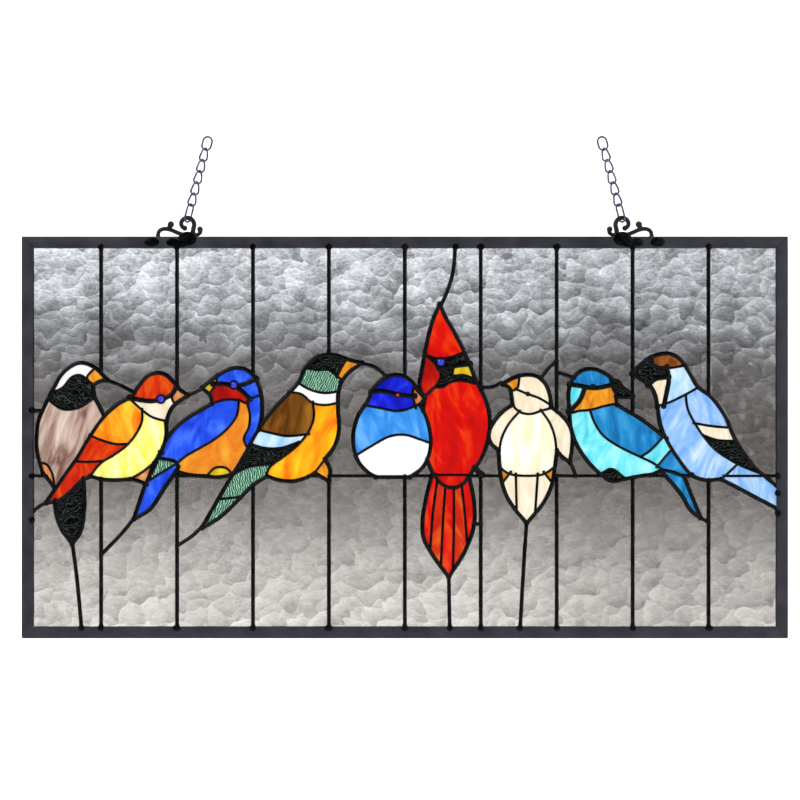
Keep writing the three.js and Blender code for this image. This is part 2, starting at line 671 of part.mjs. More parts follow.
// True where a piece of glass lies over a point of the drawing.
function covers(body, point) {
  const mesh = body.getMesh();
  const values = mesh.vertProperties;
  const at = (i) => new THREE.Vector2(values[i * mesh.numProp], values[i * mesh.numProp + 2]);
  const depth = (i) => values[i * mesh.numProp + 1];
  for (let i = 0; i < mesh.triVerts.length; i += 3) {
    const corners = mesh.triVerts.subarray(i, i + 3);
    if (corners.some((c) => depth(c) > -HALF_GLASS + 0.01)) continue;
    const [a, b, c] = [...corners].map(at);
    const side = (p, q) => (q.x - p.x) * (point.y - p.y) - (q.y - p.y) * (point.x - p.x);
    const turns = [side(a, b), side(b, c), side(c, a)];
    if (turns.every((t) => t >= 0) || turns.every((t) => t <= 0)) return true;
  }
  return false;
}

// A bar of the frame: a channel open upwards, its outer edge on the X axis, mitred at both ends.
function frameBar(length) {
  const halfSlot = HALF_GLASS + CLEARANCE;
  const halfDepth = halfSlot + CHANNEL_LIP;
  const section = new THREE.Shape(
    [
      [0, -halfDepth],
      [FRAME_FACE, -halfDepth],
      [FRAME_FACE, -halfSlot],
      [CHANNEL_WEB, -halfSlot],
      [CHANNEL_WEB, halfSlot],
      [FRAME_FACE, halfSlot],
      [FRAME_FACE, halfDepth],
      [0, halfDepth],
    ].map(([inwards, depth]) => new THREE.Vector2(inwards, depth)),
  );
  const geometry = new THREE.ExtrudeGeometry(section, { depth: 2, bevelEnabled: false, steps: 1 });
  const corners = geometry.attributes.position;
  for (let i = 0; i < corners.count; i++) {
    const inwards = corners.getX(i);
    const half = length / 2 - inwards - CLEARANCE * Math.SQRT1_2;
    corners.setXYZ(i, (1 - corners.getZ(i)) * half, corners.getY(i), inwards);
  }
  return geometry;
}

// A round bar swept along a smooth path in the panel's plane. The path is [x, z] pairs.
function sweep(path, radius, steps) {
  const round = new THREE.Shape();
  round.absarc(0, 0, radius, 0, 2 * Math.PI);
  const curve = new THREE.CatmullRomCurve3(path.map(([x, z]) => new THREE.Vector3(x, 0, z)));
  const geometry = new THREE.ExtrudeGeometry(round, {
    extrudePath: curve,
    steps,
    curveSegments: BAR_SIDES / 2,
    bevelEnabled: false,
  });
  return solid(geometry);
}

function ball(radius, x, z) {
  const geometry = new THREE.SphereGeometry(radius, BAR_SIDES, BAR_SIDES / 2 + 1);
  geometry.translate(x, 0, z);
  return solid(geometry);
}

// How far the scroll is from its centre, at an angle counted from its stem.
const scrollRadius = (angle) =>
  THREE.MathUtils.lerp(SCROLL_RADIUS, SCROLL_END_RADIUS, (angle / SCROLL_SWEEP) ** 2);

// A hanger as one casting, its hook over x = 0 and its foot on z = 0. Side 1 points its sprig to -x.
function hanger(side) {
  const scroll = [[side * SCROLL_FOOT, -HANGER_STOCK], [side * SCROLL_FOOT, SCROLL_HEIGHT / 2]];
  for (let i = 0; i <= SCROLL_STEPS; i++) {
    const angle = (SCROLL_SWEEP * i) / SCROLL_STEPS;
    const radius = scrollRadius(angle);
    scroll.push([side * radius * Math.cos(angle), SCROLL_HEIGHT + radius * Math.sin(angle)]);
  }
  const share = ([along, up]) => [-side * along * SPRIG_REACH, up * SPRIG_RISE];
  const sprig = [[-0.2, 0.15], [0.1, 0.2], [0.33, 0.5], [0.58, 0.9], [0.8, 1], [0.95, 0.7], [1, 0],
    [1, -0.6]];
  const bud = [[0.7, 0.9], [0.62, 1.2], [0.55, 1.6]];
  const curl = [[-0.2, 0.15], [-0.38, 0.25], [-0.48, 0.55], [-0.46, 0.95]];
  const parts = [
    sweep(scroll, HANGER_STOCK / 2, 10),
    sweep(sprig.map(share), SPRIG_STOCK / 2, 7),
    sweep(bud.map(share), SPRIG_STOCK / 2, 2),
    sweep(curl.map(share), CURL_STOCK / 2, 3),
    ball(KNOB_RADIUS, ...share(bud[2])),
    ball(CURL_KNOB_RADIUS, ...share(curl[3])),
  ];
  const below = new THREE.BoxGeometry(4 * SPRIG_REACH, 4 * KNOB_RADIUS, 2 * SCROLL_HEIGHT);
  below.translate(0, 0, -SCROLL_HEIGHT);
  return join(parts).subtract(solid(below));
}

// A link of round wire standing on z = 0, the middle of its lower bend, and facing -Y at its own
// middle. Its length and width are measured along the middle of the wire.
function link(length, width, twist) {
  const bend = width / 2;
  const geometry = new THREE.TorusGeometry(bend, CHAIN_WIRE / 2, LINK_SIDES, LINK_STEPS);
  geometry.rotateZ(Math.PI / LINK_STEPS);
  const points = geometry.attributes.position;
  for (let i = 0; i < points.count; i++) {
    const up = points.getY(i) + Math.sign(points.getY(i)) * (length / 2 - bend);
    const turned = new THREE.Vector2(points.getX(i), -points.getZ(i));
    turned.rotateAround(new THREE.Vector2(), (twist * up) / length);
    points.setXYZ(i, turned.x, turned.y, up + length / 2);
  }
  return geometry;
}

// A chain from the hanger's scroll up to its last link, which faces front. Returns the fused links
// and the inside of the last one, where a wall hook bears.
function chain(side) {
  const touching = CHAIN_WIRE - LINK_BITE;
  const length = LINK_INSIDE + CHAIN_WIRE;
  const width = LINK_OPENING + CHAIN_WIRE;
  const aroundScroll = (HANGER_STOCK + CHAIN_WIRE + 2 * FIRST_LINK_PLAY) / Math.sin(FIRST_LINK_TURN);
  const plan = [
    { length: FIRST_LINK_INSIDE + CHAIN_WIRE, width: aroundScroll, turn: FIRST_LINK_TURN, twist: 0 },
  ];
  for (let i = 0; i < TWISTED_LINKS; i++) {
    plan.push({ length, width, turn: FIRST_LINK_TURN - LINK_TWIST / 2, twist: LINK_TWIST });
  }
  plan.push({ length, width, turn: 0, twist: 0 });
  const links = [];
  let up = 0;
  for (const each of plan) {
    const geometry = link(each.length, each.width, side * each.twist);
    geometry.rotateZ(side * each.turn);
    geometry.translate(0, 0, up);
    links.push(solid(geometry));
    up += each.length - touching;
  }
  const hook = new THREE.Vector3(0, 0, up + touching - CHAIN_WIRE / 2);
  const lean = new THREE.Matrix4().makeRotationY(side * CHAIN_LEAN);
  const underScroll = SCROLL_HEIGHT + scrollRadius(Math.PI / 2) - HANGER_STOCK / 2;
  lean.setPosition(0, 0, underScroll - CHAIN_WIRE / 2 - CHAIN_SLACK);
  return { geometry: surface(join(links)).applyMatrix4(lean), hook: hook.applyMatrix4(lean) };
}

const panel = new THREE.Group();

function addPart(name, geometry, colour, roughness, metalness) {
  const material = new THREE.MeshStandardMaterial({ color: COLOURS[colour], roughness, metalness });
  const mesh = new THREE.Mesh(geometry, material);
  mesh.name = name;
  panel.add(mesh);
  return mesh;
}

// Glass, each piece named by the point of the drawing that it covers
const birdGlass = DRAWINGS.flatMap(({ bird, upright, pieces }) =>
  pieces.map(([piece, point, colour]) => ({
    name: `${bird}_${piece}`,
    at: place(upright, point),
    colour,
  })),
);
const clearGlass = Object.entries({ upper: CLEAR_UPPER, lower: CLEAR_LOWER }).flatMap(([row, points]) =>
  points.map(([upright, point], i) => ({
    name: `clear_pane_${row}_${i + 1}`,
    at: place(upright, point),
    colour: "clear",
  })),
);
const glassNames = [...birdGlass, ...clearGlass];
glassPieces().forEach((piece, i) => {
  const unnamed = { name: `glass_${i + 1}`, colour: "clear" };
  const { name, colour } = glassNames.find(({ at }) => covers(piece, at)) ?? unnamed;
  addPart(name, surface(piece), colour, 0.15, 0);
});
addPart("lead_lines", surface(leading()), "lead", 0.45, 0.6);

// Frame
const OUTER_WIDTH = INNER_WIDTH + 2 * FRAME_FACE;
const OUTER_HEIGHT = FRAME_TOP - FRAME_BOTTOM;
const middleHeight = (FRAME_TOP + FRAME_BOTTOM) / 2;
const bars = [
  { name: "frame_bottom", length: OUTER_WIDTH, at: [0, FRAME_BOTTOM], turn: 0 },
  { name: "frame_right", length: OUTER_HEIGHT, at: [-FRAME_LEFT, middleHeight], turn: -Math.PI / 2 },
  { name: "frame_top", length: OUTER_WIDTH, at: [0, FRAME_TOP], turn: Math.PI },
  { name: "frame_left", length: OUTER_HEIGHT, at: [FRAME_LEFT, middleHeight], turn: Math.PI / 2 },
];
for (const { name, length, at, turn } of bars) {
  const bar = addPart(name, surface(solid(frameBar(length))), "frame", 0.7, 0.3);
  bar.position.set(at[0], 0, at[1]);
  bar.rotation.y = turn;
}

// Hangers and chains. Side 1 is the left one, whose chain leans to the right.
const hooks = {};
for (const [end, side] of Object.entries({ left: 1, right: -1 })) {
  const foot = new THREE.Vector3((-side * HANGER_SPACING) / 2, 0, FRAME_TOP + CLEARANCE);
  addPart(`hanger_${end}`, surface(hanger(side)), "iron", 0.6, 0.5).position.copy(foot);
  const { geometry, hook } = chain(side);
  addPart(`chain_${end}`, geometry, "chain", 0.35, 1).position.copy(foot);
  hooks[end] = hook.add(foot);
}

// The whole panel, moved so that the left hook is the origin
panel.position.copy(hooks.left).negate();
const windowPanel = new THREE.Group();
windowPanel.add(panel);

export default windowPanel;
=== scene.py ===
"""A hanging stained glass window panel, dressed for the camera.

Nine small birds perched on a wire, in coloured and hammered clear glass held by soldered lead lines,
inside a channel frame with two cast scroll hangers and chains. Everything is in metres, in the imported
model's frame: +X to the viewer's right, +Y away from the viewer, +Z up, with the origin at the inside
of the left chain's last link.
"""
import json
import logging
import math
import random
from collections import defaultdict
from collections.abc import Iterator, Sequence
from dataclasses import dataclass, field
from enum import Enum

import bmesh
import bpy
import numpy as np
from bmesh.types import BMEdge, BMesh
from bpy.types import ID, Material, Node, NodeSocket, NodeTree, Object
from mathutils import Matrix, Vector, geometry
from mathutils.kdtree import KDTree

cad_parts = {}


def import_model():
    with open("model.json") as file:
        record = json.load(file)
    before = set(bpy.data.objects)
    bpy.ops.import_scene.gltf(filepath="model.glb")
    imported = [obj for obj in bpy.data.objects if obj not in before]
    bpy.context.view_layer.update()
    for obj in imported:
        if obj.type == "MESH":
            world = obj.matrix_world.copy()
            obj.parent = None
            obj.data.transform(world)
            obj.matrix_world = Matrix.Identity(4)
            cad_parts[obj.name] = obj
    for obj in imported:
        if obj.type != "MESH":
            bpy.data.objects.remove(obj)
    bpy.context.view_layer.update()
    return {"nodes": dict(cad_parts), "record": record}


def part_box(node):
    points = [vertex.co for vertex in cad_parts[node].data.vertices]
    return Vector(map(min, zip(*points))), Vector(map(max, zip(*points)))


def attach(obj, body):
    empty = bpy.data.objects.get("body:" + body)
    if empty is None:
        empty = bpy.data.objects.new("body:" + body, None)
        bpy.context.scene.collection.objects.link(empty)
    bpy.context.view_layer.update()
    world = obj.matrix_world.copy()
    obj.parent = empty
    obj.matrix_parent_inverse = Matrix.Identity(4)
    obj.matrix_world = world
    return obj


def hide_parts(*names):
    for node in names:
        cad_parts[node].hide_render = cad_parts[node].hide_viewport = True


SEED = 7

Run = Sequence[Sequence[float]]
log = logging.getLogger("window_panel")

MM = 0.001
BAY = 63 * MM  # from one upright line to the next
UPRIGHTS_EACH_SIDE = 4
END_BAY = 56 * MM  # from the outermost upright line to the frame
ABOVE_WIRE = 189 * MM  # clear height of the opening above the wire
BELOW_WIRE = 125 * MM  # clear height of the opening below the wire
GLASS_THICKNESS = 3 * MM
GLASS_TUCK = 5 * MM  # how far the glass runs into the frame's slot
OVERSHOOT = 3 * MM  # how far a line is drawn past the edge of the glass
HANGER_SPACING = 362 * MM  # between the two hooks
CAMERA_ASIDE = 4 * MM  # the photograph's middle, left of the middle upright
CAMERA_UP = 63 * MM  # and above the wire
HALF_WIDTH = UPRIGHTS_EACH_SIDE * BAY + END_BAY

# The cartoon is drawn on squared paper. Every drawing counts squares to the right of its own
# upright line, and up from the wire.
SQUARES_TO_BAY = 76
SQUARE = BAY / SQUARES_TO_BAY
FRAME_EDGE = END_BAY / SQUARE  # past the last upright
TOP = ABOVE_WIRE / SQUARE
BOTTOM = -BELOW_WIRE / SQUARE
PAST = (GLASS_TUCK + OVERSHOOT) / SQUARE

TINY = 1e-6  # nothing at all, in any measure
GLASS_IOR = 1.5
WAVE_PERIOD = 0.32  # of the wave texture at a scale of 1


class Bead(Enum):
    """The widths of solder bead that the panel shows, in metres."""

    WIRE = 2.9 * MM
    SEAM = 2.8 * MM
    UPRIGHT = 3.4 * MM
    OUTLINE = 4.1 * MM
    BROAD = 5.3 * MM


class Glass(Enum):
    """The sheets of glass that the pieces are cut from."""

    CLEAR = "clear"
    MAUVE = "mauve"
    LILAC = "lilac"
    BLACK = "black"
    AMBER = "amber"
    ORANGE = "orange"
    PEACH = "peach"
    SUNRISE = "sunrise"
    APRICOT = "apricot"
    LEMON = "lemon"
    YELLOW = "yellow"
    FLAME = "flame"
    SCARLET = "scarlet"
    CRIMSON = "crimson"
    ROYAL = "royal"
    NAVY = "navy"
    BROWN = "brown"
    GREEN = "green"
    WHITE = "white"
    MILK = "milk"
    SKY = "sky"
    CREAM = "cream"
    OCEAN = "ocean"
    AQUA = "aqua"
    ICE = "ice"
    PALE = "pale"
    RUST = "rust"


@dataclass(frozen=True)
class Seam:
    """A lead line inside a bird."""

    run: Run
    bead: Bead = Bead.SEAM


class Gem(Enum):
    """What an eye is made of."""

    BLUE = "blue"
    RED = "red"
    SOLDER = "solder"


@dataclass(frozen=True)
class Eye:
    """An eye: where its middle is and its radius, in squares, and what it is made of."""

    across: float
    up: float
    radius: float
    gem: Gem

    @property
    def middle(self) -> tuple[float, float]:
        """The middle, across and up."""
        return self.across, self.up


@dataclass(frozen=True)
class Drawing:
    """A bird, or its tail: a closed outline of smooth runs, sharp where two runs meet, and its seams.

    glass names the sheet that each piece is cut from, by a point of the piece.
    """

    bird: str
    upright: int
    outline: Sequence[Run]
    seams: Sequence[Seam]
    glass: Sequence[tuple[float, float, Glass]]
    eye: Eye | None = None


# From front to back: each drawing hides what lies behind it.
DRAWINGS = [
    Drawing(
        bird="collared_bird",
        upright=-1,
        outline=[
            [[33, 113], [20, 116], [9, 120], [-3, 121], [-15, 117], [-24, 107], [-30, 94], [-54, 68],
                [-70, 47], [-84, 22], [-104, -12], [-127, -52]],
            [[-127, -52], [-109, -41], [-92, -25], [-76, -9], [-62, 0]],
            [[-62, 0], [-50, -4], [-36, -5], [-24, -2], [-14, 3]],
            [[-14, 3], [0, -5]],
            [[0, -5], [1, 6], [-4, 17]],
            [[-4, 17], [6, 31], [10, 47], [9, 66], [9, 82], [12, 94]],
            [[12, 94], [20, 104], [33, 113]],
        ],
        seams=[
            Seam([[-28, 109], [-12, 106], [0, 106], [8, 100], [16, 94]]),
            Seam([[19, 119], [13, 109], [8, 99]]),
            Seam([[-34, 95], [-18, 86], [-4, 83], [12, 85]]),
            Seam([[-44, 84], [-28, 82], [-16, 73], [-3, 71], [12, 74]]),
            Seam([[-16, 74], [-15, 59], [-20, 45], [-31, 31], [-47, 18], [-59, 9], [-64, -3]]),
            Seam([[-74, 47], [-58, 43], [-42, 40], [-20, 42]]),
            Seam([[-81, 33], [-64, 28], [-48, 28], [-30, 34]]),
            Seam([[-96, 1], [-80, 9], [-56, 12]]),
            Seam([[-116, -24], [-90, -21]]),
            Seam([[-16, 1], [-3, 18]]),
        ],
        glass=[
            (-107, -30, Glass.GREEN), (-91, -11, Glass.GREEN), (-71, 20, Glass.BLACK),
            (-64, 36, Glass.ICE), (-36, 59, Glass.BROWN), (-21, 20, Glass.SUNRISE),
            (-5, 77, Glass.WHITE), (-5, 95, Glass.GREEN), (6, 112, Glass.BLACK), (20, 111, Glass.AMBER),
            (-5, 6, Glass.AMBER),
        ],
    ),
    Drawing(
        bird="blue_bird",
        upright=-2,
        outline=[
            [[-51, 88], [-37, 99], [-27, 105], [-16, 108], [-5, 105], [2, 98], [7, 86], [9, 72], [8, 56],
                [3, 39], [-5, 26]],
            [[-5, 26], [-9, 15], [-20, 3], [-34, -1], [-48, 0], [-62, 1], [-75, 4]],
            [[-75, 4], [-76, 13], [-94, 18]],
            [[-94, 18], [-86, 37], [-73, 52], [-57, 63], [-41, 72]],
            [[-41, 72], [-42, 80], [-51, 88]],
        ],
        seams=[
            Seam([[-40, 92], [-28, 92], [-19, 90], [-8, 92], [5, 98]], Bead.BROAD),
            Seam([[-36, 102], [-37, 92], [-44, 82]]),
            Seam([[-19, 90], [-11, 85], [-3, 77]], Bead.BROAD),
            Seam([[-6, 73], [0, 78], [12, 82]]),
            Seam([[-45, 71], [-29, 76], [-16, 76], [-5, 72]]),
            Seam([[-14, 76], [-16, 61], [-25, 48], [-38, 37], [-53, 28], [-67, 20], [-78, 11]]),
            Seam([[-6, 74], [-3, 61], [-4, 49], [-9, 37], [-4, 25]]),
            Seam([[-47, -1], [-38, 8], [-27, 8], [-20, 1]]),
        ],
        glass=[
            (-45, 52, Glass.ROYAL), (-26, 25, Glass.APRICOT), (-44, 88, Glass.YELLOW),
            (-36, 4, Glass.YELLOW), (-32, 84, Glass.CRIMSON), (-15, 100, Glass.ROYAL),
            (-1, 85, Glass.ROYAL), (3, 68, Glass.ROYAL),
        ],
        eye=Eye(-19, 91, 4.3, Gem.BLUE),
    ),
    Drawing(
        bird="blue_bird",
        upright=-2,
        outline=[
            [[-93, 24], [-99, 8], [-106, -5], [-112, -22], [-119, -43]],
            [[-119, -43], [-103, -33], [-90, -14], [-77, 5]],
            [[-77, 5], [-70, 16]],
            [[-70, 16], [-93, 24]],
        ],
        seams=[Seam([[-109, -8], [-92, 3], [-72, 15]])],
        glass=[(-102, -18, Glass.ROYAL), (-91, 11, Glass.GREEN)],
    ),
    Drawing(
        bird="yellow_bird",
        upright=-3,
        outline=[
            [[11, 81], [3, 86], [-3, 93], [-10, 100], [-19, 103], [-29, 100], [-38, 90], [-45, 79]],
            [[-45, 79], [-60, 71], [-74, 58], [-88, 38], [-100, 18], [-112, 1], [-131, -27]],
            [[-131, -27], [-118, -24], [-106, -15], [-96, -5], [-87, 0]],
            [[-87, 0], [-76, -3], [-62, -4], [-47, -3]],
            [[-47, -3], [-38, -5], [-29, -9]],
            [[-29, -9], [-27, 2], [-23, 13]],
            [[-23, 13], [-15, 26], [-11, 40], [-11, 54]],
            [[-11, 54], [-8, 63], [-3, 71], [11, 81]],
        ],
        seams=[
            Seam([[-48, 78], [-24, 75], [-6, 81], [-1, 88]], Bead.BROAD),
            Seam([[-3, 86], [-5, 78], [-1, 70]]),
            Seam([[-50, 80], [-36, 67], [-25, 59], [-7, 54]]),
            Seam([[-35, 67], [-35, 55], [-41, 42], [-51, 30], [-63, 21], [-76, 13], [-89, -3]]),
            Seam([[-92, 43], [-76, 36], [-62, 32], [-49, 32]]),
            Seam([[-106, 15], [-90, 14], [-74, 15]]),
            Seam([[-49, -4], [-36, 3], [-22, 14]]),
        ],
        glass=[
            (-102, 1, Glass.FLAME), (-82, 26, Glass.FLAME), (-54, 53, Glass.ORANGE),
            (-46, 14, Glass.LEMON), (-34, -1, Glass.PEACH), (-20, 89, Glass.FLAME),
            (-17, 66, Glass.CREAM), (1, 81, Glass.PEACH),
        ],
        eye=Eye(-16, 77, 4.4, Gem.BLUE),
    ),
    Drawing(
        bird="mauve_bird",
        upright=-4,
        outline=[
            [[6, 96], [-6, 108], [-21, 113], [-37, 104], [-48, 86], [-56, 70], [-62, 56], [-64, 42],
                [-64, 27], [-61, 13], [-58, 3]],
            [[-58, 3], [-52, -4], [-46, -13]],
            [[-46, -13], [-10, 8], [12, 50], [3, 60]],
            [[3, 60], [-2, 70], [-7, 80], [-8, 91]],
            [[-8, 91], [-1, 95], [6, 96]],
        ],
        seams=[
            Seam([[-54, 82], [-39, 88], [-29, 99], [-21, 101], [-14, 97]]),
            Seam([[-4, 110], [-14, 98], [-6, 90]]),
            Seam([[-57, 80], [-39, 67], [-23, 68], [-4, 80]]),
            Seam([[-64, 13], [-55, 12], [-49, 3], [-46, -14]]),
        ],
        glass=[
            (-55, 5, Glass.PEACH), (-39, 41, Glass.MAUVE), (-23, 84, Glass.BLACK),
            (-17, 107, Glass.LILAC), (-6, 100, Glass.AMBER),
        ],
    ),
    Drawing(
        bird="mauve_bird",
        upright=-4,
        outline=[
            [[-44, -10], [-46, -28], [-41, -50], [-29, -68]],
            [[-29, -68], [-21, -56], [-17, -32], [-18, 0]],
            [[-18, 0], [-30, 2], [-44, -10]],
        ],
        seams=[],
        glass=[(-32, -35, Glass.BLACK)],
    ),
    Drawing(
        bird="round_bird",
        upright=0,
        outline=[
            [[20, 78], [13, 85], [8, 93], [0, 99], [-9, 101], [-20, 98], [-30, 89], [-37, 75], [-46, 61],
                [-51, 45], [-51, 29], [-46, 14], [-37, 4], [-29, -1]],
            [[-29, -1], [5, -1]],
            [[5, -1], [16, 7], [23, 18], [26, 34], [24, 50], [20, 62], [15, 71]],
            [[15, 71], [20, 78]],
        ],
        seams=[
            Seam([[-39, 83], [-24, 85], [-9, 82], [3, 80], [10, 80]], Bead.BROAD),
            Seam([[10, 94], [8, 82], [11, 68]]),
            Seam([[-42, 71], [-25, 68], [-8, 65], [3, 67], [18, 74]]),
            Seam([[-53, 18], [-35, 29], [-14, 40], [1, 41], [14, 37], [30, 31]]),
        ],
        glass=[
            (-10, 20, Glass.WHITE), (-31, 52, Glass.SKY), (-16, 75, Glass.NAVY), (-7, 91, Glass.NAVY),
            (12, 76, Glass.PEACH),
        ],
        eye=Eye(-7, 81, 2.5, Gem.RED),
    ),
    Drawing(
        bird="crested_bird",
        upright=1,
        outline=[
            [[-41, 172], [-47, 158], [-52, 141], [-56, 121], [-59, 104], [-61, 90], [-56, 77]],
            [[-56, 77], [-58, 60], [-57, 38], [-54, 18], [-47, 2], [-39, -8], [-28, -12], [-18, -8],
                [-10, 3], [1, 19], [7, 36], [9, 54], [6, 72], [0, 86]],
            [[0, 86], [-6, 98], [-12, 113], [-19, 129], [-28, 146], [-36, 160], [-41, 172]],
        ],
        seams=[
            Seam([[-60, 123], [-46, 118], [-34, 118], [-13, 125]]),
            Seam([[-55, 121], [-45, 111], [-40, 101], [-46, 89], [-58, 77]]),
            Seam([[-42, 108], [-28, 110], [-10, 112]], Bead.BROAD),
            Seam([[-26, 112], [-28, 101], [-17, 101], [-4, 96]]),
            Seam([[-58, 78], [-47, 88], [-38, 89], [-30, 94], [-18, 95], [0, 91]]),
            Seam([[-52, 1], [-6, 1]]),
        ],
        glass=[
            (-51, 98, Glass.CRIMSON), (-23, 61, Glass.SCARLET), (-54, 82, Glass.SCARLET),
            (-20, 116, Glass.BLACK), (-38, 134, Glass.SCARLET), (-34, 100, Glass.BLACK),
            (-26, -3, Glass.SCARLET), (-16, 107, Glass.YELLOW),
        ],
        eye=Eye(-40, 114, 4.6, Gem.BLUE),
    ),
    Drawing(
        bird="crested_bird",
        upright=1,
        outline=[
            [[-49, 0], [-54, -20], [-58, -45], [-57, -62], [-48, -79], [-32, -101]],
            [[-32, -101], [-15, -73], [-7, -49], [-7, -26], [-12, 0]],
            [[-12, 0], [-28, 4], [-49, 0]],
        ],
        seams=[
            Seam([[-43, 0], [-48, -38], [-51, -80]]),
            Seam([[-35, -4], [-38, -48], [-40, -96]]),
            Seam([[-27, -6], [-27, -50], [-28, -100]]),
            Seam([[-20, -2], [-16, -38], [-13, -76]]),
        ],
        glass=[
            (-53, -39, Glass.SCARLET), (-44, -67, Glass.FLAME), (-33, -70, Glass.SCARLET),
            (-21, -69, Glass.FLAME), (-12, -30, Glass.SCARLET),
        ],
    ),
    Drawing(
        bird="white_bird",
        upright=2,
        outline=[
            [[-54, 92], [-43, 98], [-31, 101], [-19, 99], [-11, 91], [-7, 80], [-6, 69]],
            [[-6, 69], [3, 62], [11, 53], [15, 43], [15, 29], [13, 14]],
            [[13, 14], [6, 19], [0, 26]],
            [[0, 26], [-2, 10], [-5, -8], [-13, -26], [-30, -47]],
            [[-30, -47], [-41, -34], [-50, -20], [-55, -5], [-57, 10], [-58, 26]],
            [[-58, 26], [-65, 32], [-68, 42], [-62, 55], [-53, 65], [-44, 71]],
            [[-44, 71], [-45, 80], [-47, 88], [-54, 92]],
        ],
        seams=[
            Seam([[-37, 102], [-40, 87], [-49, 85]]),
            Seam([[-41, 87], [-29, 82], [-18, 78], [-3, 69]]),
            Seam([[-47, 74], [-37, 64], [-26, 62], [-16, 65], [-2, 69]]),
            Seam([[-37, 65], [-48, 52], [-55, 38], [-58, 22]]),
            Seam([[-16, 66], [-7, 53], [-2, 39], [0, 22]]),
            Seam([[-60, 12], [-51, 4], [-43, 1], [-16, 1], [-9, 4], [1, 12]]),
            Seam([[-41, 2], [-40, -38]]),
            Seam([[-19, 2], [-22, -42]]),
            Seam([[-46, 4], [-56, -9]]),
            Seam([[-13, 4], [-3, -9]]),
        ],
        glass=[
            (-60, 44, Glass.CREAM), (-53, -2, Glass.AMBER), (-29, 30, Glass.MILK),
            (-43, 92, Glass.AMBER), (-48, -9, Glass.CREAM), (-27, 72, Glass.CREAM),
            (-28, 91, Glass.CREAM), (-30, -11, Glass.CREAM), (-13, -9, Glass.CREAM),
            (6, 44, Glass.CREAM), (-6, 2, Glass.AMBER),
        ],
        eye=Eye(-29, 82, 3, Gem.SOLDER),
    ),
    Drawing(
        bird="pale_bird",
        upright=4,
        outline=[
            [[-77, 102], [-67, 112], [-57, 119], [-47, 122], [-38, 122], [-28, 116], [-20, 104], [-11, 89],
                [1, 80], [11, 68], [18, 56], [24, 41], [32, 27], [43, 12], [FRAME_EDGE - 12, 0],
                [FRAME_EDGE + PAST, -17]],
            [[FRAME_EDGE + PAST, -17], [FRAME_EDGE + PAST, -37]],
            [[FRAME_EDGE + PAST, -37], [FRAME_EDGE - 19, -22], [26, -10], [12, -3]],
            [[12, -3], [-3, -4], [-17, 1], [-31, 18], [-41, 34], [-48, 51], [-51, 69]],
            [[-51, 69], [-53, 80], [-58, 90], [-66, 96], [-77, 102]],
        ],
        seams=[
            Seam([[-58, 122], [-54, 111], [-42, 108], [-21, 111]]),
            Seam([[-42, 109], [-40, 96], [-42, 84], [-45, 70]], Bead.BROAD),
            Seam([[-61, 90], [-53, 97], [-40, 99]], Bead.BROAD),
            Seam([[-55, 69], [-41, 73], [-26, 80], [-8, 90]]),
            Seam([[-23, 81], [-21, 67], [-14, 53], [-4, 38], [7, 26], [20, 17], [33, 10],
                    [FRAME_EDGE - 12, 1]]),
            Seam([[-15, 53], [2, 50], [24, 48]]),
            Seam([[-6, 41], [8, 36], [30, 35]]),
            Seam([[10, -6], [29, 12]]),
            Seam([[15, 0], [FRAME_EDGE - 9, 0]]),
        ],
        glass=[
            (-60, 104, Glass.BLACK), (-48, 91, Glass.CREAM), (-48, 116, Glass.RUST),
            (-27, 94, Glass.ICE), (-11, 20, Glass.PALE), (-5, 66, Glass.PALE), (9, 43, Glass.CREAM),
            (22, 27, Glass.BLACK), (52, -11, Glass.PALE), (30, 5, Glass.PALE),
        ],
        eye=Eye(-46, 107, 4, Gem.SOLDER),
    ),
    Drawing(
        bird="teal_bird",
        upright=3,
        outline=[
            [[0, 80], [-9, 88], [-19, 96], [-29, 103], [-41, 107], [-53, 104], [-61, 95], [-64, 82],
                [-63, 66], [-62, 50], [-56, 32], [-45, 15], [-32, 2], [-21, -5], [-8, -3], [7, 0], [20, 2],
                [29, 6]],
            [[29, 6], [40, 4], [51, 0], [62, 2]],
            [[62, 2], [52, 24], [30, 40]],
            [[30, 40], [20, 48], [6, 58], [-6, 65], [-16, 71]],
            [[-16, 71], [-17, 80]],
            [[-17, 80], [-9, 79], [0, 80]],
        ],
        seams=[
            Seam([[-66, 92], [-52, 90], [-40, 88], [-30, 89], [-15, 93]], Bead.BROAD),
            Seam([[-24, 104], [-21, 90], [-15, 78]]),
            Seam([[-48, 88], [-53, 76], [-66, 62]], Bead.BROAD),
            Seam([[-67, 61], [-54, 65], [-43, 66], [-28, 70], [-13, 73]]),
            Seam([[-43, 66], [-38, 53], [-30, 41], [-18, 32], [-3, 24], [10, 18], [22, 12], [32, 4]]),
            Seam([[8, 19], [18, 26], [33, 42]]),
            Seam([[24, 9], [40, 28]]),
            Seam([[-34, 1], [-21, 7], [-8, -2]]),
        ],
        glass=[
            (-30, 21, Glass.AQUA), (-57, 84, Glass.AQUA), (-36, 78, Glass.AMBER),
            (-40, 98, Glass.OCEAN), (-15, 50, Glass.OCEAN), (-20, 0, Glass.BLACK),
            (-21, 95, Glass.BLACK), (-12, 84, Glass.BLACK), (23, 20, Glass.AQUA), (38, 12, Glass.OCEAN),
        ],
        eye=Eye(-40, 89, 4, Gem.SOLDER),
    ),
    Drawing(
        bird="teal_bird",
        upright=3,
        outline=[
            [[25, 8], [37, -4], [49, -19], [58, -34], [68, -42]],
            [[68, -42], [58, -18], [50, 1], [44, 8]],
            [[44, 8], [34, 12], [25, 8]],
        ],
        seams=[],
        glass=[(48, -7, Glass.OCEAN)],
    ),
]

# Where each upright line stops above the birds, from left to right
UPRIGHT_ENDS = (103, 89, 101, 119, 99, 88, 64, 62, 82)

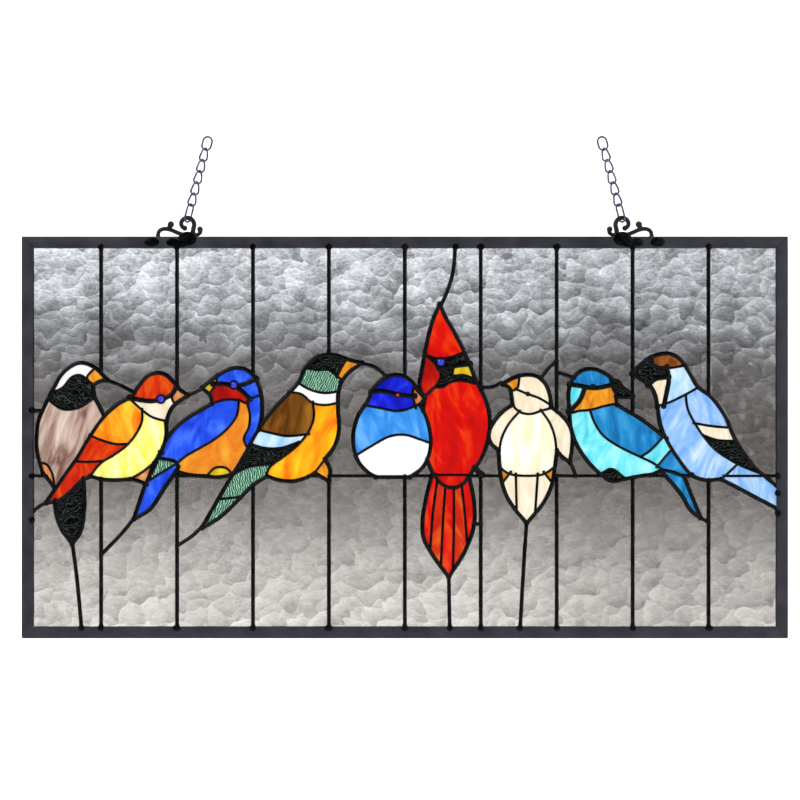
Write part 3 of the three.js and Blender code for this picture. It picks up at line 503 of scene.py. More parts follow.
# Lead lines that tie the birds to the frame, the uprights and each other
TIES = [
    (-4, [[-FRAME_EDGE - PAST, 66], [-57, 65]], Bead.UPRIGHT),
    (-4, [[5, 96], [16, 92], [34, 83]], Bead.UPRIGHT),
    (-3, [[-130, -26], [-140, -32], [-SQUARES_TO_BAY - FRAME_EDGE - PAST, -44]], Bead.UPRIGHT),
    (-4, [[-29, -66], [-24, -105], [-19, BOTTOM - PAST]], Bead.UPRIGHT),
    (-2, [[-118, -41], [-130, -56], [-152, -79]], Bead.UPRIGHT),
    (-2, [[-49, 89], [-57, 84], [-67, 80]], Bead.UPRIGHT),
    (-1, [[-126, -50], [-138, -61], [-152, -70]], Bead.UPRIGHT),
    (-1, [[31, 113], [46, 109], [60, 97]], Bead.UPRIGHT),
    (1, [[-41, 168], [-34, 184], [-28, 203], [-25, TOP + PAST]], Bead.UPRIGHT),
    (1, [[-32, -98], [-31, BOTTOM - PAST]], Bead.UPRIGHT),
    (1, [[-10, -48], [0, -48]], Bead.UPRIGHT),
    (1, [[-8, 10], [1, 1]], Bead.BROAD),
    (1, [[20, 93], [12, 89], [0, 89]], Bead.UPRIGHT),
    (2, [[-17, 96], [-8, 108], [0, 115]], Bead.UPRIGHT),
    (2, [[13, 16], [16, 8], [19, 0]], Bead.UPRIGHT),
    (2, [[-30, -45], [-33, -90], [-37, BOTTOM - PAST]], Bead.UPRIGHT),
    (3, [[-76, 104], [-57, 98]], Bead.UPRIGHT),
    (3, [[66, -40], [76, -47]], Bead.UPRIGHT),
]


@dataclass
class Line:
    """A stretch of lead that shows: its points in the panel's plane, as (x, z), and its bead."""

    points: np.ndarray
    bead: Bead


@dataclass
class Cartoon:
    """The full-size pattern: where the glass is cut and where the lead runs."""

    middle_x: float
    wire_z: float
    step: float = 1.0 * MM
    reach: float = 2.4 * MM  # how far a loose end is carried on to meet the next line's middle
    lines: list[Line] = field(default_factory=list)
    cuts: list[np.ndarray] = field(default_factory=list)

    def place(self, upright: int, run: Run) -> np.ndarray:
        """Squares to metres.

        Args:
            upright: the upright line that the squares are counted from, 0 in the middle.
            run: pairs of squares, across and up.

        Returns:
            An array of (x, z) points.
        """
        squares = np.array(run, float) * SQUARE
        return squares + (self.middle_x + upright * BAY, self.wire_z)

    def smooth(self, points: np.ndarray) -> np.ndarray:
        """A centripetal curve through the points, sampled about every step.

        Args:
            points: the points that the curve goes through.

        Returns:
            The curve's points, the ends included.
        """
        if len(points) == 2:
            count = max(2, round(float(np.linalg.norm(points[1] - points[0])) / self.step) + 1)
            return np.linspace(points[0], points[1], count)
        ends = (2 * points[0] - points[1], 2 * points[-1] - points[-2])
        padded = [ends[0], *points, ends[1]]
        traced = [points[0]]
        for a, b, c, d in zip(padded, padded[1:], padded[2:], padded[3:]):
            before, span, after = (math.sqrt(np.linalg.norm(q - p)) for p, q in ((a, b), (b, c), (c, d)))
            into = ((b - a) / before - (c - a) / (before + span) + (c - b) / span) * span
            out = ((c - b) / span - (d - b) / (span + after) + (d - c) / after) * span
            count = max(1, round(float(np.linalg.norm(c - b)) / self.step))
            for t in np.arange(1, count + 1) / count:
                cubic = (2 * b - 2 * c + into + out) * t**3
                square = (-3 * b + 3 * c - 2 * into - out) * t**2
                traced.append(b + into * t + square + cubic)
        return np.array(traced)

    def ring(self, drawing: Drawing) -> np.ndarray:
        """The outline of a drawing as one closed ring of points."""
        runs = [self.smooth(self.place(drawing.upright, run))[:-1] for run in drawing.outline]
        return np.concatenate(runs)

    def clip(self, points: np.ndarray, hidden: Sequence[np.ndarray],
             inside: np.ndarray | None) -> Iterator[np.ndarray]:
        """Splits a line into the stretches that show.

        Args:
            points: the whole line.
            hidden: rings that hide what lies inside them.
            inside: a ring that the line stays inside, if any.

        Yields:
            Each stretch that shows, with one more point at each end where it was clipped.
        """
        shows = np.ones(len(points), bool)
        for ring in hidden:
            shows &= ~within(points, ring)
        if inside is not None:
            shows &= within(points, inside)
        starts = np.flatnonzero(shows & ~np.roll(shows, 1) | shows & (np.arange(len(points)) == 0))
        for start in starts:
            end = start
            while end + 1 < len(points) and shows[end + 1]:
                end += 1
            first, last = max(0, start - 1), min(len(points) - 1, end + 1)
            if last - first >= 2:
                yield points[first : last + 1]

    def draw(self, points: np.ndarray, bead: Bead, hidden: Sequence[np.ndarray],
             inside: np.ndarray | None = None) -> None:
        """Adds what shows of a line, as lead and as a cut through the glass."""
        for stretch in self.clip(points, hidden, inside):
            self.lines.append(Line(stretch, bead))
            start = stretch[0] - stretch[1]
            end = stretch[-1] - stretch[-2]
            start *= self.reach / np.linalg.norm(start)
            end *= self.reach / np.linalg.norm(end)
            self.cuts.append(np.vstack([stretch[0] + start, stretch, stretch[-1] + end]))

    def fill(self) -> None:
        """Draws every line of the panel, from the front birds to the uprights behind them."""
        rings = [self.ring(drawing) for drawing in DRAWINGS]
        for i, drawing in enumerate(DRAWINGS):
            for run in drawing.outline:
                self.draw(self.smooth(self.place(drawing.upright, run)), Bead.OUTLINE, rings[:i])
            for seam in drawing.seams:
                points = self.smooth(self.place(drawing.upright, seam.run))
                self.draw(points, seam.bead, rings[:i], rings[i])
        for upright, run, bead in TIES:
            self.draw(self.smooth(self.place(upright, run)), bead, rings)
        for i, end in enumerate(UPRIGHT_ENDS):
            for run in ([[0, end], [0, TOP + PAST]], [[0, BOTTOM - PAST], [0, 0]]):
                points = self.smooth(self.place(i - UPRIGHTS_EACH_SIDE, run))
                self.draw(points, Bead.UPRIGHT, rings)
        end = (HALF_WIDTH + GLASS_TUCK + OVERSHOOT) / SQUARE
        self.draw(self.smooth(self.place(0, [[-end, 0], [end, 0]])), Bead.WIRE, rings)


def within(points: np.ndarray, ring: np.ndarray) -> np.ndarray:
    """Which points lie inside a closed ring.

    Args:
        points: an array of (x, z) points.
        ring: the ring's corners.

    Returns:
        True for each point that is inside.
    """
    found = np.zeros(len(points), bool)
    x, z = points[:, 0], points[:, 1]
    for (ax, az), (bx, bz) in zip(ring, np.roll(ring, -1, axis=0)):
        if az == bz:
            continue
        crosses = (az > z) != (bz > z)
        found ^= crosses & (x < (bx - ax) * (z - az) / (bz - az) + ax)
    return found


def linear(hex_colour: str) -> tuple[float, float, float, float]:
    """An sRGB hex colour as the linear colour that the shader wants."""
    shares = [int(hex_colour[i : i + 2], 16) / 255 for i in (1, 3, 5)]
    return (*[c / 12.92 if c <= 0.04045 else ((c + 0.055) / 1.055) ** 2.4 for c in shares], 1.0)


def feed(node: Node, inputs: dict) -> None:
    """Sets a node's inputs.

    Args:
        node: the node.
        inputs: by input name or number, a value, a socket, or a node for its first output.
    """
    for name, value in inputs.items():
        source = value.outputs[0] if isinstance(value, Node) else value
        if isinstance(source, NodeSocket):
            node.id_data.links.new(source, node.inputs[name])
        else:
            node.inputs[name].default_value = source


def add(tree: NodeTree, kind: str, inputs: dict | None = None, **settings) -> Node:
    """Adds a node.

    Args:
        tree: the node tree that it goes in.
        kind: the node's type.
        inputs: what its inputs are set to, as in feed.
        **settings: the node's own properties.

    Returns:
        The node.
    """
    made = tree.nodes.new(kind)
    for name, value in settings.items():
        setattr(made, name, value)
    feed(made, inputs or {})
    return made


def new_material(name: str) -> tuple[Material, NodeTree, Node]:
    """An empty material with a principled shader on its output."""
    material = bpy.data.materials.new(name)
    material.use_nodes = True
    tree = material.node_tree
    tree.nodes.clear()
    shader = add(tree, "ShaderNodeBsdfPrincipled")
    add(tree, "ShaderNodeOutputMaterial", {"Surface": shader})
    return material, tree, shader


def ramp(tree: NodeTree, share: Node | NodeSocket,
         stops: Sequence[float], colours: Sequence[str]) -> Node:
    """A colour that runs through the given ones, each at its stop, as share goes from 0 to 1."""
    made = add(tree, "ShaderNodeValToRGB", {"Fac": share})
    elements = made.color_ramp.elements
    while len(elements) < len(stops):
        elements.new(0.5)
    for element, stop, colour in zip(elements, stops, colours):
        element.position = stop
        element.color = linear(colour)
    return made


@dataclass(frozen=True)
class OpalGlass:
    """Opalescent art glass: rolled sheet with milky streaks, glossy on both faces.

    The streaks are stretched along the way the sheet was rolled. A little of the light behind comes
    through, and a painted glow, a little emission in the glass's own colour, makes the colour glow.
    """

    name: str
    colours: tuple[str, str, str]  # from the deepest to the milkiest
    streak: float = 14 * MM  # width of a streak
    stretch: float = 3.0
    stops: tuple[float, float, float] = (0.32, 0.52, 0.72)
    rough: float = 0.16
    texture: float = 0.15  # strength of the rolled surface
    grain: float = 7 * MM  # size of that texture
    through: float = 0.22  # share of the light that comes through
    # painted glow: emission in the streaks' own colour, light that no lamp gives
    painted_glow: float = 0.16

    def make(self) -> Material:
        """Builds the material."""
        material, tree, shader = new_material(f"opalescent glass {self.name}")
        sheet = add(tree, "ShaderNodeAttribute", attribute_name="sheet")
        rolled = add(tree, "ShaderNodeMapping", {
            "Vector": sheet.outputs["Vector"],
            "Scale": (1 / self.streak, 1 / (self.streak * self.stretch), 1 / self.streak)})
        streaks = add(tree, "ShaderNodeTexNoise", {
            "Vector": rolled, "Scale": 1.0, "Detail": 3.0, "Roughness": 0.5, "Distortion": 1.1})
        colour = ramp(tree, streaks, self.stops, self.colours)
        place = add(tree, "ShaderNodeTexCoord")
        surface = add(tree, "ShaderNodeTexNoise", {
            "Vector": place.outputs["Object"], "Scale": 1 / self.grain, "Detail": 2.0})
        bump = add(tree, "ShaderNodeBump", {
            "Height": surface, "Strength": self.texture, "Distance": 1.0 * MM})
        feed(shader, {
            "Base Color": colour, "Normal": bump, "Roughness": self.rough, "IOR": GLASS_IOR,
            "Transmission Weight": self.through, "Emission Color": colour,
            "Emission Strength": self.painted_glow})
        return material


@dataclass(frozen=True)
class RippleGlass:
    """Rolled ripple glass, such as the black and the green: long wavy ridges that catch the light, with
    the ridges also painted lighter in the colour as a painted highlight.
    """

    name: str
    colours: tuple[str, str, str]  # of the hollows, the slopes and the ridges, the ridges lighter as painted highlight
    ridge: float = 3.2 * MM
    stops: tuple[float, float, float] = (0.25, 0.78, 0.97)
    rough: float = 0.07
    depth: float = 1.0  # strength of the ridges
    gloss: float = 0.5  # specular level
    unrest: float = 5.0  # how far the ridges wander
    way: str = "Y"

    def make(self) -> Material:
        """Builds the material."""
        material, tree, shader = new_material(f"ripple glass {self.name}")
        sheet = add(tree, "ShaderNodeAttribute", attribute_name="sheet")
        waves = add(tree, "ShaderNodeTexWave", {
            "Vector": sheet.outputs["Vector"], "Scale": WAVE_PERIOD / self.ridge,
            "Distortion": self.unrest, "Detail": 2.0, "Detail Scale": 1.4, "Detail Roughness": 0.6,
        }, wave_type="BANDS", bands_direction=self.way).outputs["Fac"]
        bump = add(tree, "ShaderNodeBump", {
            "Height": waves, "Strength": self.depth, "Distance": 0.6 * MM})
        # The base colour is lighter on the ridges: painted highlight, over the real bump
        feed(shader, {
            "Base Color": ramp(tree, waves, self.stops, self.colours), "Normal": bump,
            "Roughness": self.rough, "IOR": GLASS_IOR, "Specular IOR Level": self.gloss})
        return material


@dataclass(frozen=True)
class HammeredGlass:
    """Clear hammered glass: colourless sheet, see-through, pressed with irregular dimples.

    Its colour is painted light and shade that stand in for what is seen through it. Each dimple is painted
    light above and dark below, as if it bent what is behind it, and its rim is a painted thin bright
    line. The painted shade runs by height, lighter at the top and the foot than behind the birds, and
    a painted shade makes it a little darker to the right.
    """

    low: float  # foot of the glass
    high: float  # top of the glass
    middle: float  # of the panel's width
    dimple: float = 15 * MM
    flatness: float = 1.35  # width of a dimple by its height
    stray: float = 1.5  # how far dimples stray from even cells, in dimples
    slope: tuple[float, float, float] = (-0.2, 0, 0.42)  # painted light and shade: change of light across and up a dimple
    odd: float = 0.18  # change of light from one dimple to the next
    bend: float = 24 * MM  # how far a dimple shifts the painted shade seen through it, from its foot to its top
    rim: float = 0.09  # width of a painted bright rim, in dimples
    rim_light: float = 0.22
    patch: float = 34 * MM
    patch_light: float = 1.5
    patch_shift: float = 60 * MM  # how far the patches move the painted shade up
    fleck: tuple[float, float] = (4.6 * MM, 2.2 * MM)  # width and height of a fleck in a dimple
    fleck_light: float = 2.2
    level: float = 1.85  # what the patches, the flecks and the rims come to in the middle
    even: float = 0.08  # the same for the slope and the odd dimples
    darkest: float = 0.4
    # The painted light of the patches, the flecks and the rims grows to its full strength between two
    # shares of the height, from this share of it
    calm: tuple[float, float, float] = (0.55, 0.95, 0.38)
    # Painted shade: the glass darkens between two places to the right of the middle, to this share of its
    # light
    dim: tuple[float, float, float] = (40 * MM, 190 * MM, 0.8)
    heights: tuple[float, ...] = (0.0, 0.14, 0.27, 0.37, 0.45, 0.68, 0.79, 0.9, 1.0)
    # Painted shade by height: the light and dark seen through the glass, from its foot to its top
    painted_shades: tuple[str, ...] = (
        "#b2aeaa", "#a5a29e", "#85827f", "#6a6663", "#5c5855", "#5f5d5d", "#7a7c7f", "#9ea2a6", "#a9acb0")

    def make(self) -> Material:
        """Builds the material."""
        material, tree, shader = new_material("clear hammered glass")
        place = add(tree, "ShaderNodeTexCoord").outputs["Object"]
        axes = add(tree, "ShaderNodeSeparateXYZ", {"Vector": place})
        flat = add(tree, "ShaderNodeMapping", {"Vector": place, "Scale": (1, 0, 1)})
        warp = add(tree, "ShaderNodeTexNoise", {
            "Vector": flat, "Scale": 0.8 / self.dimple, "Detail": 2.0})
        bent = add(tree, "ShaderNodeVectorMath", {
            0: warp.outputs["Color"], 1: (self.stray * self.dimple,) * 3, 2: flat,
        }, operation="MULTIPLY_ADD")
        wide = add(tree, "ShaderNodeMapping", {
            "Vector": bent, "Scale": (1 / self.dimple, 1, self.flatness / self.dimple)})
        cells, rims = (
            add(tree, "ShaderNodeTexVoronoi", {"Vector": wide, "Scale": 1.0}, feature=feature)
            for feature in ("F1", "DISTANCE_TO_EDGE"))
        rim = add(tree, "ShaderNodeMapRange", {
            "Value": rims, "From Min": 0.0, "From Max": self.rim, "To Min": 1.0, "To Max": 0.0,
        }, interpolation_type="SMOOTHSTEP")
        inside = add(tree, "ShaderNodeVectorMath", {0: wide, 1: cells.outputs["Position"]},
                     operation="SUBTRACT")
        # Painted light and shade across each dimple, its painted shift of what is seen through, and a
        # random change per dimple
        lit, shifted, odd = (
            add(tree, "ShaderNodeVectorMath", {0: source, 1: weights},
                operation="DOT_PRODUCT").outputs["Value"]
            for source, weights in ((inside, self.slope), (inside, (0, 0, self.bend)),
                                    (cells.outputs["Color"], (self.odd, 0, 0))))
        patches = add(tree, "ShaderNodeTexNoise", {
            "Vector": flat, "Scale": 1 / self.patch, "Detail": 3.0, "Roughness": 0.6})
        flecked = add(tree, "ShaderNodeMapping", {
            "Vector": flat, "Scale": (1 / self.fleck[0], 1, 1 / self.fleck[1])})
        flecks = add(tree, "ShaderNodeTexNoise", {
            "Vector": flecked, "Scale": 1.0, "Detail": 3.0, "Roughness": 0.6, "Distortion": 1.2})
        seen_height = add(tree, "ShaderNodeMath", {0: shifted, 1: axes.outputs["Z"]}, operation="ADD")
        rough_height = add(tree, "ShaderNodeMath", {0: patches, 1: self.patch_shift, 2: seen_height},
                           operation="MULTIPLY_ADD")
        share = add(tree, "ShaderNodeMapRange", {
            "Value": rough_height, "From Min": self.low + self.patch_shift / 2,
            "From Max": self.high + self.patch_shift / 2})
        # The painted rims and flecks show most where the painted shade is light, at the top
        strength = add(tree, "ShaderNodeMapRange", {
            "Value": share, "From Min": self.calm[0], "From Max": self.calm[1], "To Min": self.calm[2],
            "To Max": 1.0})
        # Painted shade, darker to the right
        dimmer = add(tree, "ShaderNodeMapRange", {
            "Value": axes.outputs["X"], "From Min": self.middle + self.dim[0],
            "From Max": self.middle + self.dim[1], "To Min": 1.0, "To Max": self.dim[2],
        }, interpolation_type="SMOOTHSTEP")
        # The painted light: painted bright rims, patches and flecks, painted light and shade across each
        # dimple, a random change from one dimple to the next, and painted shade to the right
        light = rim
        for operation, own, others in (
            ("MULTIPLY", 0, {1: self.rim_light}),
            ("MULTIPLY_ADD", 2, {0: patches, 1: self.patch_light}),
            ("MULTIPLY_ADD", 2, {0: flecks, 1: self.fleck_light}),
            ("SUBTRACT", 0, {1: self.level}),
            ("MULTIPLY_ADD", 0, {1: strength, 2: 1.0}),
            ("ADD", 0, {1: lit}),
            ("ADD", 0, {1: odd}),
            ("SUBTRACT", 0, {1: self.even}),
            ("MAXIMUM", 0, {1: self.darkest}),
            ("MULTIPLY", 0, {1: dimmer}),
        ):
            light = add(tree, "ShaderNodeMath", {own: light, **others}, operation=operation)
        # The painted shade by height, scaled by the painted light, is the glass's base colour
        colour = add(tree, "ShaderNodeVectorMath", {
            0: ramp(tree, share, self.heights, self.painted_shades), "Scale": light}, operation="SCALE")
        bump = add(tree, "ShaderNodeBump", {"Height": flecks, "Strength": 0.25, "Distance": 0.3 * MM})
        feed(shader, {"Base Color": colour, "Normal": bump, "Roughness": 0.05, "IOR": GLASS_IOR,
                      "Transmission Weight": 1.0})
        return material


@dataclass(frozen=True)
class Metal:
    """A metal or patina finish, with worn patches and a fine bump."""

    name: str
    colours: tuple[str, str, str]  # dull, common and worn
    metallic: float
    rough: tuple[float, float]
    patch: float  # size of a patch of colour
    grain: float  # size of the fine bump
    bump: float
    gloss: float = 0.5  # specular level, less on a blackened face
    stops: tuple[float, float, float] = (0.3, 0.5, 0.74)

    def make(self) -> Material:
        """Builds the material."""
        material, tree, shader = new_material(self.name)
        place = add(tree, "ShaderNodeTexCoord").outputs["Object"]
        patches = add(tree, "ShaderNodeTexNoise", {
            "Vector": place, "Scale": 1 / self.patch, "Detail": 5.0, "Roughness": 0.6})
        rough = add(tree, "ShaderNodeMapRange", {
            "Value": patches, "From Min": 0.3, "From Max": 0.7, "To Min": self.rough[0],
            "To Max": self.rough[1]})
        grain = add(tree, "ShaderNodeTexNoise", {
            "Vector": place, "Scale": 1 / self.grain, "Detail": 3.0})
        bump = add(tree, "ShaderNodeBump", {
            "Height": grain, "Strength": self.bump, "Distance": 0.3 * MM})
        feed(shader, {
            "Base Color": ramp(tree, patches, self.stops, self.colours), "Normal": bump,
            "Roughness": rough, "Metallic": self.metallic, "Specular IOR Level": self.gloss})
        return material


# Lead-free solder blackened with patina: it stays glossy where the bead was rubbed
SOLDER = Metal("black patina solder", ("#010102", "#030405", "#0e1216"), 0.1, (0.16, 0.34), 5 * MM,
               1.6 * MM, 0.45, 0.14)
# Zinc channel with a dark patina: matt charcoal, a little violet
CHANNEL = Metal("dark patina zinc channel", ("#1b1a23", "#2a2833", "#393742"), 0.35, (0.42, 0.6),
                22 * MM, 1.2 * MM, 0.2)
# Cast metal, blackened: satin, with sand-cast grain
CASTING = Metal("blackened cast metal", ("#0c0b0d", "#1a171c", "#2e2a33"), 0.6, (0.32, 0.55), 4 * MM,
                0.9 * MM, 0.5)
# Nickel-plated steel wire, dulled: satin grey, slightly violet
NICKEL = Metal("nickel-plated wire", ("#2e2a3c", "#524b68", "#8279a0"), 0.7, (0.36, 0.52), 3 * MM,
               0.6 * MM, 0.1)


@dataclass(frozen=True)
class GemGlass:
    """A pressed glass gem: one deep clear colour, polished, with a painted glow of a little emission."""

    name: str
    colours: tuple[str, str]
    swirl: float = 1.5 * MM

    def make(self) -> Material:
        """Builds the material."""
        material, tree, shader = new_material(f"glass gem {self.name}")
        place = add(tree, "ShaderNodeTexCoord")
        swirls = add(tree, "ShaderNodeTexNoise", {
            "Vector": place.outputs["Object"], "Scale": 1 / self.swirl, "Detail": 2.0})
        colour = ramp(tree, swirls, (0.35, 0.7), self.colours)
        # Painted glow: a little emission in the gem's own colour
        feed(shader, {
            "Base Color": colour, "Roughness": 0.04, "IOR": 1.52, "Transmission Weight": 0.25,
            "Emission Color": colour, "Emission Strength": 0.12})
        return material


SHEETS = {
    Glass.MAUVE: OpalGlass("mauve", ("#7c584c", "#c0a698", "#e4d4c4"), 9 * MM, 5.0),
    Glass.LILAC: OpalGlass("lilac white", ("#e6dcea", "#f4eef6", "#fdfbfe"), 12 * MM),
    Glass.BLACK: RippleGlass("black", ("#000000", "#010202", "#343d3a"), depth=0.9, gloss=0.07,
                             unrest=15.0),
    Glass.AMBER: OpalGlass("amber", ("#c9730e", "#e8941c", "#f5b547"), 10 * MM),
    Glass.ORANGE: OpalGlass("orange", ("#f06a08", "#fb9a1a", "#ffd23a"), 13 * MM),
    Glass.PEACH: OpalGlass("peach", ("#bc6630", "#d88648", "#e8a870"), 9 * MM),
    Glass.SUNRISE: OpalGlass("sunrise", ("#f47a0a", "#fdae12", "#ffd820"), 12 * MM),
    Glass.APRICOT: OpalGlass("apricot", ("#e0701a", "#e8942a", "#f4b036"), 15 * MM, 1.8),
    Glass.LEMON: OpalGlass("lemon", ("#f7e321", "#fbf58e", "#fdfbcf"), 11 * MM, 4.0),
    Glass.YELLOW: OpalGlass("yellow", ("#cda614", "#dfc020", "#eed640"), 10 * MM),
    Glass.FLAME: OpalGlass("flame", ("#be1804", "#d43206", "#e6640e"), 12 * MM),
    Glass.SCARLET: OpalGlass("scarlet", ("#bc0500", "#dc0b02", "#ea4808"), 14 * MM),
    Glass.CRIMSON: OpalGlass("crimson", ("#980702", "#b80d04", "#d02408"), 12 * MM),
    Glass.ROYAL: OpalGlass("royal blue", ("#183ac8", "#2656ea", "#4a7cf6"), 14 * MM, 2.0),
    Glass.NAVY: OpalGlass("deep blue", ("#0a10a6", "#131fd0", "#2a3aec"), 10 * MM),
    Glass.BROWN: OpalGlass("brown", ("#553005", "#7c4a10", "#a06a20"), 10 * MM, 4.0),
    Glass.GREEN: RippleGlass("green", ("#1f6446", "#56a680", "#c4ecd6"), 1.9 * MM, unrest=7.0, way="X"),
    Glass.WHITE: OpalGlass("white", ("#f6f6fa", "#fdfdff", "#ffffff"), 14 * MM),
    Glass.MILK: OpalGlass("milk white", ("#f4eac4", "#fbf8e8", "#ffffff"), 10 * MM, 4.5),
    Glass.SKY: OpalGlass("sky blue", ("#2a82da", "#3f98ea", "#72b8f8"), 12 * MM),
    Glass.CREAM: OpalGlass("cream", ("#eedcba", "#f6ead2", "#fcf5e8"), 6 * MM, 3.5),
    Glass.OCEAN: OpalGlass("ocean blue", ("#1268aa", "#2088c8", "#44a6de"), 10 * MM),
    Glass.AQUA: OpalGlass("aqua", ("#4ccfe2", "#80e9f2", "#b4f6f4"), 10 * MM),
    Glass.ICE: OpalGlass("ice blue", ("#9ccdf2", "#c2e4fb", "#eaf8ff"), 9 * MM),
    Glass.PALE: OpalGlass("pale blue", ("#6fa8ee", "#9cc6f6", "#d3e6fc"), 9 * MM, 4.0),
    Glass.RUST: OpalGlass("rust", ("#6e3a10", "#965420", "#b87434"), 8 * MM),
}


def linked(name: str, data: ID) -> Object:
    """A new object of the scene, at the origin."""
    made = bpy.data.objects.new(name, data)
    bpy.context.scene.collection.objects.link(made)
    return made


def mesh_object(name: str, points: Sequence[Sequence[float]], faces: Sequence[Sequence[int]] = (),
                edges: Sequence[tuple[int, int]] = ()) -> Object:
    """A linked mesh object with its place in its mesh."""
    mesh = bpy.data.meshes.new(name)
    mesh.from_pydata([tuple(p) for p in points], edges, faces)
    mesh.update()
    return linked(name, mesh)


def solid(name: str, shape: BMesh, *materials: Material) -> Object:
    """A linked mesh object of a bmesh, with its faces turned outwards. The bmesh is freed."""
    bmesh.ops.recalc_face_normals(shape, faces=shape.faces)
    mesh = bpy.data.meshes.new(name)
    shape.to_mesh(mesh)
    shape.free()
    for material in materials:
        mesh.materials.append(material)
    return linked(name, mesh)


def wheel(count: int) -> list[tuple[float, float]]:
    """The cosine and sine of equal steps all round."""
    angles = [2 * math.pi * i / count for i in range(count)]
    return [(math.cos(angle), math.sin(angle)) for angle in angles]


def tube(shape: BMesh, loops: Sequence[Sequence[tuple[float, float, float]]],
         closed: bool) -> None:
    """Adds a tube to a bmesh.

    Args:
        shape: the bmesh.
        loops: the points of each ring round the tube.
        closed: whether the tube runs into its own start, and so needs no ends.
    """
    rows = [[shape.verts.new(point) for point in loop] for loop in loops]
    if not closed:
        shape.faces.new(rows[0][::-1])
        shape.faces.new(rows[-1])
    for a, b in zip(rows, rows[1:] + rows[:1] if closed else rows[1:]):
        for j in range(len(a)):
            shape.faces.new((a[j - 1], a[j], b[j], b[j - 1]))


def settle(source: Object, name: str) -> Object:
    """A plain mesh object of what an object's modifiers make of it, in place of the object.

    Args:
        source: the object with its modifiers.
        name: the new object's name.

    Returns:
        The new object, without modifiers.
    """
    bpy.context.view_layer.update()
    evaluated = source.evaluated_get(bpy.context.evaluated_depsgraph_get())
    mesh = bpy.data.meshes.new_from_object(evaluated)
    bpy.data.objects.remove(source)
    mesh.name = name
    return linked(name, mesh)


def merge(name: str, parts: Sequence[Object]) -> Object:
    """One mesh object of several, with their materials kept."""
    materials = list(dict.fromkeys(m for part in parts for m in part.data.materials))
    whole = bmesh.new()
    for part in parts:
        places = [materials.index(m) for m in part.data.materials]
        shift = len(whole.faces)
        whole.from_mesh(part.data)
        whole.faces.ensure_lookup_table()
        for face in whole.faces[shift:]:
            face.material_index = places[min(face.material_index, len(places) - 1)]
    target = bpy.data.meshes.new(name)
    whole.to_mesh(target)
    whole.free()
    for material in materials:
        target.materials.append(material)
    for part in parts:
        bpy.data.objects.remove(part)
    return linked(name, target)


def shade(piece: Object, angle: float | None = None) -> None:
    """Smooth shading, with edges sharper than an angle kept sharp."""
    for polygon in piece.data.polygons:
        polygon.use_smooth = True
    if angle is not None:
        piece.data.set_sharp_from_angle(angle=math.radians(angle))


def geometry_tree(name: str, sizes: dict[str, float]) -> tuple[NodeTree, Node]:
    """A geometry tree with named inputs for its sizes, and its input node."""
    tree = bpy.data.node_groups.new(name, "GeometryNodeTree")
    for way in ("INPUT", "OUTPUT"):
        tree.interface.new_socket("Geometry", in_out=way, socket_type="NodeSocketGeometry")
    for size, value in sizes.items():
        socket = tree.interface.new_socket(size, in_out="INPUT", socket_type="NodeSocketFloat")
        socket.default_value = value
    return tree, add(tree, "NodeGroupInput")


def close_tree(tree: NodeTree, shape: Node,
               material: Material) -> NodeTree:
    """Ends a geometry tree: real geometry, its material, and the output.

    Args:
        tree: the tree.
        shape: the node that its geometry comes out of.
        material: what it is made of.

    Returns:
        The tree.
    """
    real = add(tree, "GeometryNodeRealizeInstances", {"Geometry": shape})
    dressed = add(tree, "GeometryNodeSetMaterial", {"Geometry": real, "Material": material})
    add(tree, "NodeGroupOutput", {"Geometry": dressed})
    return tree


def grow(source: Object, tree: NodeTree, name: str,
         sizes: dict[str, float] | None = None) -> Object:
    """Runs a geometry tree on an object and returns the plain mesh that it makes.

    Args:
        source: the object that the tree starts from; it is removed.
        tree: the tree.
        name: the new object's name.
        sizes: values for the tree's named inputs, where they differ from its own.

    Returns:
        The new object.
    """
    modifier = source.modifiers.new("grow", "NODES")
    modifier.node_group = tree
    sockets = {s.name: s for s in tree.interface.items_tree if s.in_out == "INPUT"}
    for size, value in (sizes or {}).items():
        modifier[sockets[size].identifier] = value
    return settle(source, name)


def turn(a: np.ndarray, b: np.ndarray, c: np.ndarray) -> np.ndarray:
    """Twice the signed area of each triangle, positive where it turns to the left."""
    return (b[..., 0] - a[..., 0]) * (c[..., 1] - a[..., 1]) - (b[..., 1] - a[..., 1]) * (
        c[..., 0] - a[..., 0])


def covers(triangles: np.ndarray, point: np.ndarray) -> np.ndarray:
    """Which of the triangles, each of three corners, a point lies in."""
    a, b, c = (triangles[:, i] for i in range(3))
    turns = np.stack([turn(a, b, point), turn(b, c, point), turn(c, a, point)])
    return np.all(turns >= 0, axis=0) | np.all(turns <= 0, axis=0)


def nearest(points: np.ndarray, marks: np.ndarray) -> np.ndarray:
    """How far each point is from the nearest mark."""
    tree = KDTree(len(marks))
    for i, mark in enumerate(marks):
        tree.insert((mark[0], mark[1], 0), i)
    tree.balance()
    return np.array([tree.find((p[0], p[1], 0))[2] for p in points])


def sides_of(triangle: Sequence[int]) -> Iterator[tuple[int, int]]:
    """The three sides of a triangle, in its own order."""
    return zip(triangle, [*triangle[1:], triangle[0]])


def regions(triangles: Sequence[Sequence[int]], walls: set[frozenset[int]]) -> np.ndarray:
    """Numbers the areas that walls part a net into.

    Args:
        triangles: the net's triangles.
        walls: the sides that can't be crossed.

    Returns:
        The number of each triangle's area.
    """
    beside = defaultdict(list)
    for i, triangle in enumerate(triangles):
        for side in sides_of(triangle):
            beside[frozenset(side)].append(i)
    region = np.full(len(triangles), -1)
    count = 0
    for first in range(len(triangles)):
        if region[first] >= 0:
            continue
        region[first] = count
        stack = [first]
        while stack:
            open_sides = {frozenset(side) for side in sides_of(triangles[stack.pop()])} - walls
            for other in {i for side in open_sides for i in beside[side]}:
                if region[other] < 0:
                    region[other] = count
                    stack.append(other)
        count += 1
    return region


